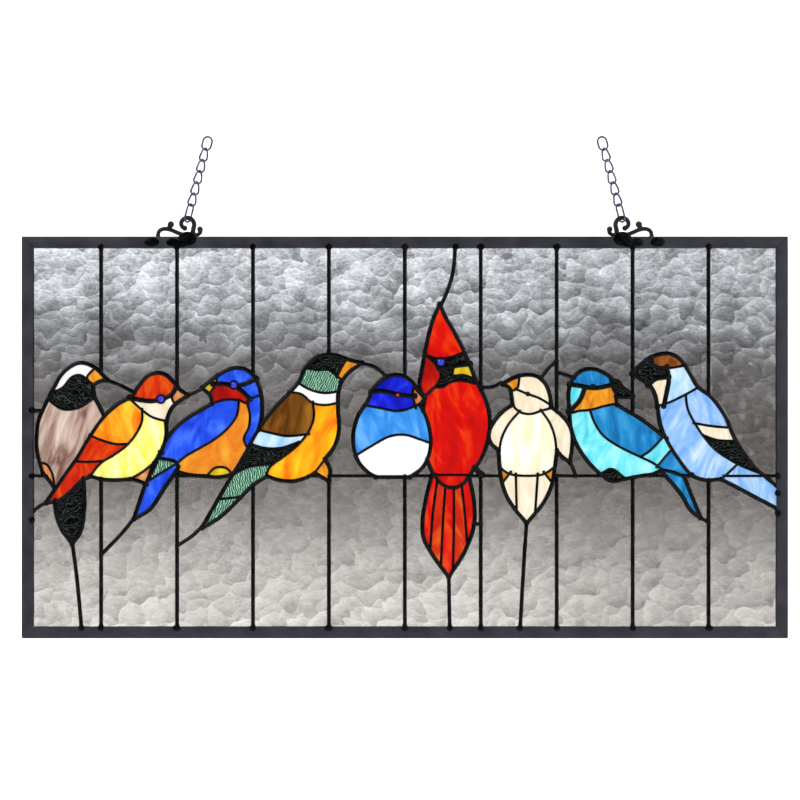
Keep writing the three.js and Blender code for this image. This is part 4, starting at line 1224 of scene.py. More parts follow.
@dataclass
class SheetOfGlass:
    """The whole sheet, cut along the cartoon into pieces that each stay in their own place."""

    cartoon: Cartoon
    nodes: dict[str, Object]
    materials: dict[Glass, Material]
    grid: float = 1.7 * MM
    clear: float = 0.8  # of the grid from a cut, in steps of the grid
    gap: float = 0.35 * MM  # from a cut's middle to the glass on each side
    furthest: float = 2.0  # how far a corner may move, in gaps
    askew: float = 0.5  # how far a piece may be turned on its sheet, in radians
    smallest: float = 5 * MM**2  # slivers below this area lie under the lead
    flush: float = 0.01 * MM  # how far behind the front a point may be and still count as on it
    sharp: float = 40.0
    dimple: float = 13 * MM
    dimple_depth: float = 0.9 * MM
    fronts: dict[str, np.ndarray] = field(default_factory=dict, init=False)

    def net(self) -> tuple[np.ndarray, np.ndarray, np.ndarray]:
        """Triangulates the sheet with every cut kept as edges.

        Returns:
            The points, the triangles and, for each triangle, the region that it belongs to, or -1.
        """
        x0, x1 = (self.cartoon.middle_x + s * (HALF_WIDTH + GLASS_TUCK) for s in (-1, 1))
        z0 = self.cartoon.wire_z - BELOW_WIRE - GLASS_TUCK
        z1 = self.cartoon.wire_z + ABOVE_WIRE + GLASS_TUCK
        border = np.array([(x0, z0), (x1, z0), (x1, z1), (x0, z1), (x0, z0)])
        points: list[np.ndarray] = []
        edges: list[tuple[int, int]] = []
        for cut in [border, *self.cartoon.cuts]:
            start = len(points)
            points.extend(cut)
            edges.extend((start + i, start + i + 1) for i in range(len(cut) - 1))
        columns = np.arange(x0, x1, self.grid)
        rows = np.arange(z0, z1, self.grid * math.sqrt(3) / 2)
        grid = np.array([(x + (j % 2) * self.grid / 2, z) for j, z in enumerate(rows) for x in columns])
        low, high = np.array([(x0, z0), (x1, z1)])
        margin = self.grid / 2
        free = np.all((grid > low + margin) & (grid < high - margin), axis=1)
        free &= nearest(grid, np.array(points)) > self.clear * self.grid
        places, sides, faces, _, origins, _ = geometry.delaunay_2d_cdt(
            [Vector(p) for p in [*points, *grid[free]]], edges, [], 0, TINY)
        corners = np.array([tuple(place) for place in places])
        triangles = np.array([tuple(face) for face in faces])
        walls = {frozenset(side) for side, cuts in zip(sides, origins) if cuts}
        region = regions(triangles.tolist(), walls)
        middles = corners[triangles].mean(axis=1)
        region[np.any((middles < low) | (middles > high), axis=1)] = -1
        return corners, triangles, region

    def read_nodes(self) -> None:
        """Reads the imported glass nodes' front faces from the frame."""
        for name, node in self.nodes.items():
            mesh = node.data
            mesh.calc_loop_triangles()
            points = np.array([v.co for v in mesh.vertices])
            triangles = np.array([t.vertices for t in mesh.loop_triangles])
            front = points[:, 1].min() + self.flush
            flat = triangles[np.all(points[triangles][:, :, 1] < front, axis=1)]
            self.fronts[name] = points[flat][:, :, [0, 2]]

    def node_under(self, point: np.ndarray, kind: str) -> str:
        """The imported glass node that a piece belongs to.

        Args:
            point: a point of the piece.
            kind: how the node's name starts: the bird's name, or the clear panes'.

        Returns:
            The name of the node that covers the point, or else of the nearest one of its kind.
        """
        own = {name: front for name, front in self.fronts.items() if name.startswith(kind)}
        for name, front in own.items():
            if np.any(covers(front, point)):
                return name
        away = {name: np.sum((front.mean(axis=1) - point) ** 2, axis=1).min()
                for name, front in own.items()}
        return min(away, key=away.get)

    def piece(self, corners: np.ndarray, triangles: np.ndarray, glass: Glass,
              dice: random.Random) -> Object:
        """One piece of glass as a closed solid, drawn in a little from the cuts around it.

        Args:
            corners: the net's points.
            triangles: the piece's triangles.
            glass: the sheet that it is cut from.
            dice: where the piece was cut from its sheet.

        Returns:
            The object, with its material.
        """
        used, flat = np.unique(triangles, return_inverse=True)
        flat = flat.reshape(-1, 3)
        points = corners[used]
        area = turn(points[flat[:, 0]], points[flat[:, 1]], points[flat[:, 2]])
        flat = np.where((area < 0)[:, None], flat[:, ::-1], flat).tolist()
        sides = {side for triangle in flat for side in sides_of(triangle)}
        rim = [(a, b) for a, b in sides if (b, a) not in sides]
        inwards = defaultdict(list)
        for a, b in rim:
            along = points[b] - points[a]
            along /= max(np.linalg.norm(along), TINY)
            for corner in (a, b):
                inwards[corner].append(np.array([-along[1], along[0]]))
        moved = points.copy()
        for corner, normals in inwards.items():
            total = np.sum(normals, axis=0)
            length = np.linalg.norm(total)
            if length > TINY:
                total = total / length
                reach = min(self.furthest, 1 / max(TINY, float(total @ normals[0])))
                moved[corner] += total * self.gap * reach
        count = len(moved)
        both = np.vstack([moved, moved])
        y = np.repeat([-GLASS_THICKNESS / 2, GLASS_THICKNESS / 2], count)
        faces = [tuple(t) for t in flat]
        faces += [(c + count, b + count, a + count) for a, b, c in flat]
        faces += [(b, a, a + count, b + count) for a, b in rim]
        made = mesh_object(f"{glass.value} piece", np.column_stack([both[:, 0], y, both[:, 1]]), faces)
        inner = np.zeros(2 * count, np.float32)
        inner[:count] = 1
        inner[list(inwards)] = 0
        mask = made.data.attributes.new("front", "FLOAT", "POINT")
        mask.data.foreach_set("value", inner)
        angle = dice.uniform(-self.askew, self.askew)
        shift = np.array([dice.uniform(0, 1), dice.uniform(0, 1)])
        turned = both @ np.array([[math.cos(angle), -math.sin(angle)], [math.sin(angle), math.cos(angle)]])
        sheet = np.column_stack([turned + shift, np.zeros(2 * count)]).astype(np.float32)
        cut_from = made.data.attributes.new("sheet", "FLOAT_VECTOR", "POINT")
        cut_from.data.foreach_set("vector", sheet.ravel())
        made.data.materials.append(self.materials[glass])
        return made

    def press_tree(self) -> NodeTree:
        """Geometry nodes that press hammered dimples into the front of the clear glass."""
        tree, sizes = geometry_tree("hammered dimples", {
            "Dimple size": self.dimple, "Depth": self.dimple_depth})
        position = add(tree, "GeometryNodeInputPosition")
        flat = add(tree, "ShaderNodeVectorMath", {0: position, 1: (1, 0, 1)}, operation="MULTIPLY")
        per = add(tree, "ShaderNodeMath", {0: 1.0, 1: sizes.outputs["Dimple size"]}, operation="DIVIDE")
        half = add(tree, "ShaderNodeMath", {0: 0.5, 1: per}, operation="MULTIPLY")
        warp = add(tree, "ShaderNodeTexNoise", {"Vector": flat, "Scale": half, "Detail": 2.0})
        bent = add(tree, "ShaderNodeVectorMath", {
            0: warp.outputs["Color"], 1: (self.dimple,) * 3, 2: flat}, operation="MULTIPLY_ADD")
        cells = add(tree, "ShaderNodeTexVoronoi", {
            "Vector": bent, "Scale": per, "Smoothness": 0.35, "Randomness": 1.0}, feature="SMOOTH_F1")
        # A dimple fades out at three quarters of its size from its middle
        deep = add(tree, "ShaderNodeMath", {0: 0.75, 1: cells}, operation="SUBTRACT", use_clamp=True)
        depth = add(tree, "ShaderNodeMath", {0: deep, 1: sizes.outputs["Depth"]}, operation="MULTIPLY")
        mask = add(tree, "GeometryNodeInputNamedAttribute", {"Name": "front"}, data_type="FLOAT")
        masked = add(tree, "ShaderNodeMath", {0: depth, 1: mask.outputs["Attribute"]}, operation="MULTIPLY")
        moved = add(tree, "GeometryNodeSetPosition", {
            "Geometry": sizes, "Offset": add(tree, "ShaderNodeCombineXYZ", {"Y": masked})})
        return close_tree(tree, moved, self.materials[Glass.CLEAR])

    def build(self) -> list[tuple[str, Object]]:
        """Cuts every piece and presses the clear glass.

        Returns:
            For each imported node, its name and the object that stands for it.
        """
        self.read_nodes()
        corners, triangles, region = self.net()
        shapes = corners[triangles]
        marks = np.vstack(self.cartoon.cuts)
        named = {}
        for drawing in DRAWINGS:
            for across, up, glass in drawing.glass:
                point = self.cartoon.place(drawing.upright, [[across, up]])[0]
                hit = np.flatnonzero(covers(shapes, point))
                if len(hit):
                    named.setdefault(int(region[hit[0]]), glass)
                else:
                    log.warning("%s: no glass at %s, %s", drawing.bird, across, up)
        dice = random.Random(SEED)
        groups = defaultdict(list)
        rings = [self.cartoon.ring(drawing) for drawing in DRAWINGS]
        for r in range(region.max() + 1):
            own = shapes[region == r]
            if np.sum(np.abs(turn(own[:, 0], own[:, 1], own[:, 2]))) / 2 < self.smallest:
                continue
            middles = own.mean(axis=1)
            heart = middles[int(np.argmax(nearest(middles, marks)))]
            bird = next((d.bird for d, ring in zip(DRAWINGS, rings) if within(heart[None], ring)[0]), None)
            node = self.node_under(heart, bird or "clear_pane")
            if bird and r not in named:
                log.warning("no glass is named for %s at %s", node, heart)
            glass = named.get(r, Glass.CLEAR) if bird else Glass.CLEAR
            groups[node].append(self.piece(corners, triangles[region == r], glass, dice))
        pressed = self.press_tree()
        made = []
        for node, parts in sorted(groups.items()):
            whole = merge(f"{node}_glass", parts)
            if "_bird_" not in node:
                whole = grow(whole, pressed, f"{node}_glass")
            shade(whole, self.sharp)
            made.append((node, whole))
        return made


@dataclass
class SolderWork:
    """The solder: beads along every line, blobs where they meet, and tacks that hold the frame."""

    cartoon: Cartoon
    opening: tuple[Vector, Vector]  # lowest and highest corner inside the frame
    frame_front: float
    material: Material
    depth: float = 5.2 * MM  # from the front of a bead to its back
    step: float = 1.55 * MM
    wander: float = 0.16  # how much a bead's width changes, as a share of it
    lump: float = 6 * MM  # length of one change
    joint: float = 1.22  # a joint's width, in widths of its bead
    joint_depth: float = 1.01  # in depths of a bead, as for a dot
    dot_depth: float = 1.06
    tack_width: float = 6 * MM
    tack_height: float = 5.4 * MM
    tack_seat: float = 1 * MM  # from the frame's inner edge to a tack's middle
    tack_rise: float = 0.28 * MM  # above the face of the frame
    tack_swell: tuple[float, float] = (0.85, 1.2)  # how narrow or wide a tack may come out
    sharp: float = 60.0

    def bead_tree(self) -> NodeTree:
        """Geometry nodes that lay a bead along edges, a little uneven, as a hand lays it."""
        tree, sizes = geometry_tree("solder bead", {
            "Width": Bead.UPRIGHT.value, "Depth": self.depth, "Wander": self.wander, "Step": self.step})
        curve = add(tree, "GeometryNodeMeshToCurve", {"Mesh": sizes})
        even = add(tree, "GeometryNodeResampleCurve", {"Curve": curve, "Length": sizes.outputs["Step"]},
                   mode="LENGTH")
        flat = add(tree, "GeometryNodeSetCurveNormal", {"Curve": even, "Normal": (0, 1, 0)}, mode="FREE")
        place = add(tree, "GeometryNodeInputPosition")
        lumps = add(tree, "ShaderNodeTexNoise", {"Vector": place, "Scale": 1 / self.lump, "Detail": 1.0})
        centred = add(tree, "ShaderNodeMath", {0: lumps, 1: 0.5}, operation="SUBTRACT")
        swell = add(tree, "ShaderNodeMath", {0: centred, 1: sizes.outputs["Wander"], 2: 1.0},
                    operation="MULTIPLY_ADD")
        circle = add(tree, "GeometryNodeCurvePrimitiveCircle", {"Resolution": 10, "Radius": 0.5})
        oval = add(tree, "ShaderNodeCombineXYZ", {
            "X": sizes.outputs["Depth"], "Y": sizes.outputs["Width"], "Z": 1.0})
        section = add(tree, "GeometryNodeTransform", {"Geometry": circle, "Scale": oval})
        swept = add(tree, "GeometryNodeCurveToMesh", {
            "Curve": flat, "Profile Curve": section, "Scale": swell, "Fill Caps": True})
        return close_tree(tree, swept, self.material)

    def blob_tree(self) -> NodeTree:
        """Geometry nodes that set a rounded blob on each point, as wide as its attribute says."""
        tree, sizes = geometry_tree("solder blob", {"Depth": self.depth})
        wide, high = (
            add(tree, "GeometryNodeInputNamedAttribute", {"Name": name},
                data_type="FLOAT").outputs["Attribute"] for name in ("wide", "high"))
        size = add(tree, "ShaderNodeCombineXYZ", {"X": wide, "Y": sizes.outputs["Depth"], "Z": high})
        ball = add(tree, "GeometryNodeMeshUVSphere", {"Segments": 14, "Rings": 8, "Radius": 0.5})
        points = add(tree, "GeometryNodeMeshToPoints", {"Mesh": sizes})
        placed = add(tree, "GeometryNodeInstanceOnPoints", {
            "Points": points, "Instance": ball, "Scale": size})
        return close_tree(tree, placed, self.material)

    def trimmed(self, points: np.ndarray) -> np.ndarray | None:
        """What of a line lies in the frame's opening, or None."""
        low, high = (np.array([corner.x, corner.z]) for corner in self.opening)
        kept = np.flatnonzero(np.all((points > low) & (points < high), axis=1))
        return points[kept[0] : kept[-1] + 1] if len(kept) > 1 else None

    def blobs(self, name: str, spots: Sequence[tuple[float, float, float, float, float]],
              depth: float) -> Object:
        """Blobs of solder.

        Args:
            name: the object's name.
            spots: for each blob its x, y and z, and how wide and how high it is.
            depth: how deep they all are.

        Returns:
            The object.
        """
        table = np.array(spots)
        source = mesh_object(name, table[:, :3])
        for key, column in (("wide", 3), ("high", 4)):
            made = source.data.attributes.new(key, "FLOAT", "POINT")
            made.data.foreach_set("value", table[:, column].astype(np.float32))
        made = grow(source, self.blob_tree(), name, {"Depth": depth})
        shade(made)
        return made

    def build(self) -> Object:
        """Lays every bead and joint, and returns them as one piece."""
        tree = self.bead_tree()
        parts = []
        joints = []
        for bead in Bead:
            points: list[tuple[float, float, float]] = []
            edges: list[tuple[int, int]] = []
            for line in self.cartoon.lines:
                run = self.trimmed(line.points) if line.bead is bead else None
                if run is None:
                    continue
                edges.extend((len(points) + i, len(points) + i + 1) for i in range(len(run) - 1))
                points.extend((x, 0.0, z) for x, z in run)
                wide = self.joint * bead.value
                joints += [(x, 0.0, z, wide, wide) for x, z in (run[0], run[-1])]
            source = mesh_object(f"{bead.name.lower()} lines", points, edges=edges)
            parts.append(grow(source, tree, f"{bead.name.lower()}_beads", {"Width": bead.value}))
        parts.append(self.blobs("joints", joints, self.depth * self.joint_depth))
        for drawing in DRAWINGS:
            if drawing.eye and drawing.eye.gem is Gem.SOLDER:
                x, z = self.cartoon.place(drawing.upright, [drawing.eye.middle])[0]
                wide = 2 * drawing.eye.radius * SQUARE
                parts.append(self.blobs("dot", [(x, 0.0, z, wide, wide)], self.depth * self.dot_depth))
        whole = merge("solder_lines", parts)
        shade(whole, self.sharp)
        return whole

    def tacks(self) -> Object:
        """Lumps of solder on the frame's inner edge, wherever a line runs into it."""
        low, high = self.opening
        dice = random.Random(SEED)
        spots = []
        for line in self.cartoon.lines:
            for x, z in (line.points[0], line.points[-1]):
                across = low.x < x < high.x
                if across and low.z < z < high.z:
                    continue
                wide, tall = self.tack_width * dice.uniform(*self.tack_swell), self.tack_height
                if across:
                    edge = low.z - self.tack_seat if z <= low.z else high.z + self.tack_seat
                    spots.append((x, self.frame_front, edge, wide, tall))
                else:
                    edge = low.x - self.tack_seat if x <= low.x else high.x + self.tack_seat
                    spots.append((edge, self.frame_front, min(max(z, low.z), high.z), tall, wide))
        return self.blobs("frame_tacks", spots, 2 * self.tack_rise)


@dataclass
class Eyes:
    """Small glass gems set in solder rings: the eyes of the birds that have coloured ones."""

    cartoon: Cartoon
    ring: float = 0.75 * MM  # thickness of the solder round a gem
    half_depth: float = 3.0 * MM  # from the middle of the glass to the top of that solder
    rise: float = 3.35 * MM  # from the middle of the glass to the top of a gem
    steps: int = 32
    sides: int = 10

    def build(self, materials: dict[Gem, Material]) -> list[tuple[str, Object]]:
        """Makes each gem with its ring.

        Args:
            materials: what each kind of gem, and the solder round it, is made of.

        Returns:
            For each eye, the bird and the object.
        """
        made = []
        for drawing in DRAWINGS:
            if drawing.eye is None or drawing.eye.gem is Gem.SOLDER:
                continue
            x, z = self.cartoon.place(drawing.upright, [drawing.eye.middle])[0]
            radius = drawing.eye.radius * SQUARE
            shape = bmesh.new()
            oval = Matrix.Diagonal((radius, self.rise, radius, 1))
            bmesh.ops.create_uvsphere(shape, u_segments=28, v_segments=16, radius=1.0,
                                      matrix=Matrix.Translation((x, 0, z)) @ oval)
            gem = solid(f"{drawing.bird}_gem", shape, materials[drawing.eye.gem])
            shape = bmesh.new()
            tube(shape, [[(x + (radius + self.ring * out) * east, self.half_depth * deep,
                           z + (radius + self.ring * out) * north) for out, deep in wheel(self.sides)]
                         for east, north in wheel(self.steps)], closed=True)
            setting = solid(f"{drawing.bird}_setting", shape, materials[Gem.SOLDER])
            eye = merge(f"{drawing.bird}_eye", [gem, setting])
            shade(eye)
            made.append((drawing.bird, eye))
        return made


class Side(Enum):
    """The frame's four bars: along which axis each lies, and which way its slot faces."""

    BOTTOM = (0, 1)
    TOP = (0, -1)
    LEFT = (2, 1)
    RIGHT = (2, -1)


@dataclass
class ChannelFrame:
    """The zinc channel round the panel: four bars, mitred at the corners."""

    boxes: dict[Side, tuple[Vector, Vector]]
    material: Material
    web: float = 1.5 * MM
    half_slot: float = 1.62 * MM
    fillet: float = 0.45 * MM
    fillet_steps: int = 4
    sharp: float = 35.0

    def section(self, face: float, depth: float) -> list[tuple[float, float]]:
        """The channel's section, as (inwards, depth) points round it, its outer corners rounded."""
        front = []
        for middle, start in ((self.fillet, 1.0), (face - self.fillet, 1.5)):
            for i in range(self.fillet_steps + 1):
                angle = math.pi * (start + 0.5 * i / self.fillet_steps)
                front.append((middle + self.fillet * math.cos(angle),
                              self.fillet - depth + self.fillet * math.sin(angle)))
        front += [(face, -self.half_slot), (self.web, -self.half_slot)]
        return front + [(inwards, -y) for inwards, y in reversed(front)]

    def bar(self, side: Side) -> Object:
        """One bar, mitred at both ends."""
        low, high = self.boxes[side]
        along, inward = side.value
        across = 2 - along
        outer = low[across] if inward > 0 else high[across]
        ends: list[list[Vector]] = [[], []]
        for inwards, y in self.section(high[across] - low[across], (high.y - low.y) / 2):
            for end, at in zip(ends, (low[along] + inwards, high[along] - inwards)):
                corner = Vector((0, y, 0))
                corner[along], corner[across] = at, outer + inward * inwards
                end.append(corner)
        shape = bmesh.new()
        tube(shape, ends, closed=False)
        bar = solid(f"channel_{side.name.lower()}", shape, self.material)
        shade(bar, self.sharp)
        return bar


# What a hanger's rods go through, in shares of the sprig's reach and rise
SPRIG = ((-0.2, 0.15), (0.1, 0.2), (0.33, 0.5), (0.58, 0.9), (0.8, 1), (0.95, 0.7), (1, 0), (1, -0.6))
SPRIG_TIP = (0.99, 0.05)
BUD = ((0.7, 0.9), (0.62, 1.2), (0.55, 1.6))
CURL = ((-0.2, 0.15), (-0.38, 0.25), (-0.48, 0.55), (-0.46, 0.95))


@dataclass
class ScrollHanger:
    """A cast hanger: a scroll that the chain hangs on, a sprig with a bud, and a small curl.

    It is drawn with its hook over x = 0 and its foot on z = 0. Side 1 points its sprig to -x.
    """

    foot: Vector
    side: int
    material: Material
    stock: float = 3.6 * MM
    taper: float = 0.86  # of the scroll at its rolled end
    stem: float = 5.2 * MM  # from the hook to the middle of the scroll's stem
    radius: float = 6.2 * MM
    end_radius: float = 3.2 * MM
    sweep: float = 240.0
    height: float = 9.6 * MM  # centre of the scroll above the frame
    knob: float = 2.5 * MM
    reach: float = 24 * MM  # from the hook to the end of the sprig
    rise: float = 6.2 * MM
    sprig_stock: float = 3.2 * MM
    curl_stock: float = 2.8 * MM
    curl_knob: float = 2.2 * MM
    voxel: float = 0.32 * MM
    skin: float = 0.3 * MM  # what the smoothing takes off the casting
    sharp: float = 50.0
    patch_rise: float = 0.28 * MM  # of the solder on the frame's face
    patches: tuple[tuple[float, float, float, float], ...] = (
        (-28.5, -5.0, 12.5, 7.8), (-11.4, -5.2, 11.0, 7.2), (0.8, -2.2, 15.5, 12.0),
        (-3.6, -5.4, 10.0, 8.0),
    )  # each middle, width and height, in millimetres from the foot

    def scroll(self, steps: int = 8) -> list[tuple[float, float]]:
        """The points that the scroll goes through, from below its foot to its rolled end."""
        points = [(self.stem, -self.stock), (self.stem, self.height / 2)]
        for i in range(steps + 1):
            angle = math.radians(self.sweep * i / steps)
            radius = self.radius + (self.end_radius - self.radius) * (i / steps) ** 2
            points.append((radius * math.cos(angle), self.height + radius * math.sin(angle)))
        return [(self.side * x, z) for x, z in points]

    def share(self, points: Sequence[tuple[float, float]]) -> list[tuple[float, float]]:
        """Shares of the sprig's reach and rise as points."""
        return [(-self.side * along * self.reach, up * self.rise) for along, up in points]

    def rod(self, shape: BMesh, path: Sequence[tuple[float, float]],
            radii: tuple[float, float], sides: int = 14) -> None:
        """Adds a round rod in the panel's plane.

        Args:
            shape: the bmesh that it goes in.
            path: the points that a smooth curve goes through.
            radii: the radius at the start and at the end.
            sides: how many sides the rod has.
        """
        points = Cartoon(0, 0, step=0.6 * MM).smooth(np.array(path, float))
        ways = np.gradient(points, axis=0)
        ways /= np.linalg.norm(ways, axis=1)[:, None]
        loops = []
        for (x, z), (dx, dz), radius in zip(points, ways, self.skin + np.linspace(*radii, len(points))):
            loops.append([(x - dz * radius * side, radius * deep, z + dx * radius * side)
                          for side, deep in wheel(sides)])
        tube(shape, loops, closed=False)

    def build(self, name: str) -> Object:
        """Casts the hanger in one piece and cuts it off at the frame."""
        shape = bmesh.new()
        half, sprig, curl = self.stock / 2, self.sprig_stock / 2, self.curl_stock / 2
        # Each rod's path, and its radius at the start and at the end
        for path, radii in (
            (self.scroll(), (half, self.taper * half)),
            (self.share(SPRIG), (sprig, 0.9 * sprig)),
            (self.share(BUD), (0.8 * sprig, sprig)),
            (self.share(CURL), (curl, 0.9 * curl)),
        ):
            self.rod(shape, path, radii)
        # A ball on the bud and on the curl, and one that rounds the end of the sprig and of the scroll
        ends = [*self.share([BUD[-1], CURL[-1], SPRIG_TIP]), self.scroll()[-1]]
        for (x, z), radius in zip(ends, (self.knob, self.curl_knob, 1.06 * sprig, 1.12 * half)):
            bmesh.ops.create_uvsphere(shape, u_segments=20, v_segments=12, radius=radius + self.skin,
                                      matrix=Matrix.Translation((x, 0, z)))
        raw = solid("hanger", shape)
        remesh = raw.modifiers.new("cast", "REMESH")
        remesh.mode = "VOXEL"
        remesh.voxel_size = self.voxel
        soften = raw.modifiers.new("soften", "SMOOTH")
        soften.factor = 0.5
        soften.iterations = 4
        whole = settle(raw, name)
        shape = bmesh.new()
        shape.from_mesh(whole.data)
        everything = [*shape.verts, *shape.edges, *shape.faces]
        cut = bmesh.ops.bisect_plane(shape, geom=everything, plane_co=(0, 0, 0), plane_no=(0, 0, 1),
                                     clear_inner=True)
        rim = [e for e in cut["geom_cut"] if isinstance(e, BMEdge)]
        bmesh.ops.holes_fill(shape, edges=rim)
        bmesh.ops.translate(shape, verts=shape.verts, vec=self.foot)
        shape.to_mesh(whole.data)
        shape.free()
        whole.data.materials.clear()
        whole.data.materials.append(self.material)
        shade(whole, self.sharp)
        return whole

    def soldering(self, work: SolderWork, name: str) -> Object:
        """The solder on the frame's face that holds the hanger."""
        spots = [(self.foot.x + self.side * x * MM, work.frame_front, self.foot.z + z * MM, wide * MM,
                  high * MM) for x, z, wide, high in self.patches]
        return work.blobs(name, spots, 2 * self.patch_rise)


@dataclass
class Chain:
    """A twisted-link chain from the hanger's scroll up to a plain last link that faces front.

    It is drawn upright over the foot of its hanger, then leaned towards the middle of the panel.
    """

    hanger: ScrollHanger
    material: Material
    lean: float = 14.5
    wire: float = 1.65 * MM
    slack: float = 0.7 * MM  # between the first link and the scroll it hangs on
    inside: float = 9.4 * MM  # length of a link's opening
    opening: float = 5.9 * MM
    bite: float = 0.2 * MM  # how far two links that touch are pressed into each other
    first_inside: float = 13.5 * MM
    first_turn: float = 52.0
    link_turn: float = 33.0  # of a twisted link's middle, so that its top stands edge on
    link_opening: float = 4.7 * MM  # of a twisted link, which its twist draws in
    play: float = 0.05 * MM
    twisted: int = 5
    twist: float = 90.0

    def link_tree(self) -> NodeTree:
        """Geometry nodes for a row of equal links of round wire, each twisted along its length."""
        tree, sizes = geometry_tree("chain links", {
            "Length": self.inside, "Width": self.opening, "Wire": self.wire, "Twist": 0.0, "Turn": 0.0,
            "Count": 1.0, "Pitch": self.inside, "Start": 0.0})
        size = sizes.outputs
        bend, half, thick = (
            add(tree, "ShaderNodeMath", {0: size[name], 1: 0.5}, operation="MULTIPLY")
            for name in ("Width", "Length", "Wire"))
        circle = add(tree, "GeometryNodeCurvePrimitiveCircle", {"Resolution": 44, "Radius": bend})
        point = add(tree, "ShaderNodeSeparateXYZ", {"Vector": add(tree, "GeometryNodeInputPosition")})
        upper = add(tree, "ShaderNodeMath", {0: point.outputs["Y"]}, operation="SIGN")
        spare = add(tree, "ShaderNodeMath", {0: half, 1: bend}, operation="SUBTRACT")
        up = add(tree, "ShaderNodeMath", {0: upper, 1: spare, 2: point.outputs["Y"]},
                 operation="MULTIPLY_ADD")
        share = add(tree, "ShaderNodeMath", {0: up, 1: size["Length"]}, operation="DIVIDE")
        angle = add(tree, "ShaderNodeMath", {0: share, 1: size["Twist"]}, operation="MULTIPLY")
        stretched = add(tree, "ShaderNodeCombineXYZ", {"X": point, "Z": up})
        turned = add(tree, "ShaderNodeVectorRotate", {"Vector": stretched, "Angle": angle},
                     rotation_type="Z_AXIS")
        bent = add(tree, "GeometryNodeSetPosition", {"Geometry": circle, "Position": turned})
        section = add(tree, "GeometryNodeCurvePrimitiveCircle", {"Resolution": 12, "Radius": thick})
        link = add(tree, "GeometryNodeCurveToMesh", {"Curve": bent, "Profile Curve": section})
        middle = add(tree, "ShaderNodeMath", {0: size["Start"], 1: half}, operation="ADD")
        start, pitch, euler = (
            add(tree, "ShaderNodeCombineXYZ", {"Z": z}) for z in (middle, size["Pitch"], size["Turn"]))
        row = add(tree, "GeometryNodeMeshLine", {
            "Count": size["Count"], "Start Location": start, "Offset": pitch}, mode="OFFSET")
        links = add(tree, "GeometryNodeInstanceOnPoints", {
            "Points": row, "Instance": link,
            "Rotation": add(tree, "FunctionNodeEulerToRotation", {"Euler": euler})})
        return close_tree(tree, links, self.material)

    def build(self, name: str) -> Object:
        """Makes the links and hangs them on the scroll."""
        hanger, side = self.hanger, self.hanger.side
        tree = self.link_tree()
        touching = self.wire - self.bite
        length = self.inside + self.wire
        first = self.first_inside + self.wire
        turned = math.radians(self.first_turn)
        around = (hanger.stock + self.wire + 2 * self.play) / math.sin(turned)
        rows = [
            {"Length": first, "Width": around, "Turn": side * turned},
            {"Length": length, "Width": self.link_opening + self.wire,
             "Turn": side * math.radians(self.link_turn), "Twist": side * math.radians(self.twist),
             "Count": float(self.twisted), "Pitch": length - touching, "Start": first - touching},
            {"Length": length, "Width": self.opening + self.wire,
             "Start": first - touching + self.twisted * (length - touching)},
        ]
        chain = merge(name, [grow(mesh_object("link", [(0, 0, 0)]), tree, f"links_{i}", sizes)
                             for i, sizes in enumerate(rows)])
        # The scroll's top is a quarter turn round, where it has drawn in a little
        share = (90 / hanger.sweep) ** 2
        over = hanger.radius + (hanger.end_radius - hanger.radius) * share
        under = hanger.height + over - hanger.stock / 2
        lift = Vector((0, 0, under - self.wire / 2 - self.slack))
        leaned = Matrix.Rotation(math.radians(side * self.lean), 4, "Y")
        chain.data.transform(Matrix.Translation(hanger.foot + lift) @ leaned)
        shade(chain)
        return chain


@dataclass(frozen=True)
class SoftBox:
    """A soft light: a rectangle, aimed at the panel or at the wall behind it."""

    name: str
    at: tuple[float, float, float]
    size: tuple[float, float]
    power: float  # in watts
    on_wall: bool = False

    def build(self, towards: Vector) -> None:
        """Puts the light in the scene, aimed at a point."""
        light = bpy.data.lights.new(self.name, "AREA")
        light.shape = "RECTANGLE"
        light.size, light.size_y = self.size
        light.energy = self.power
        lamp = linked(self.name, light)
        lamp.location = self.at
        lamp.rotation_euler = (towards - lamp.location).to_track_quat("-Z", "Y").to_euler()


LAMPS = (
    SoftBox("key", (-1.1, -1.5, 1.1), (1.2, 1.2), 30),
    SoftBox("fill", (1.5, -1.6, 0.4), (1.4, 1.4), 16),
    SoftBox("wall_left", (-1.3, 0.35, 1.2), (0.8, 1.6), 36, on_wall=True),
    SoftBox("wall_right", (1.6, 0.35, 1.2), (0.8, 1.6), 36, on_wall=True),
)


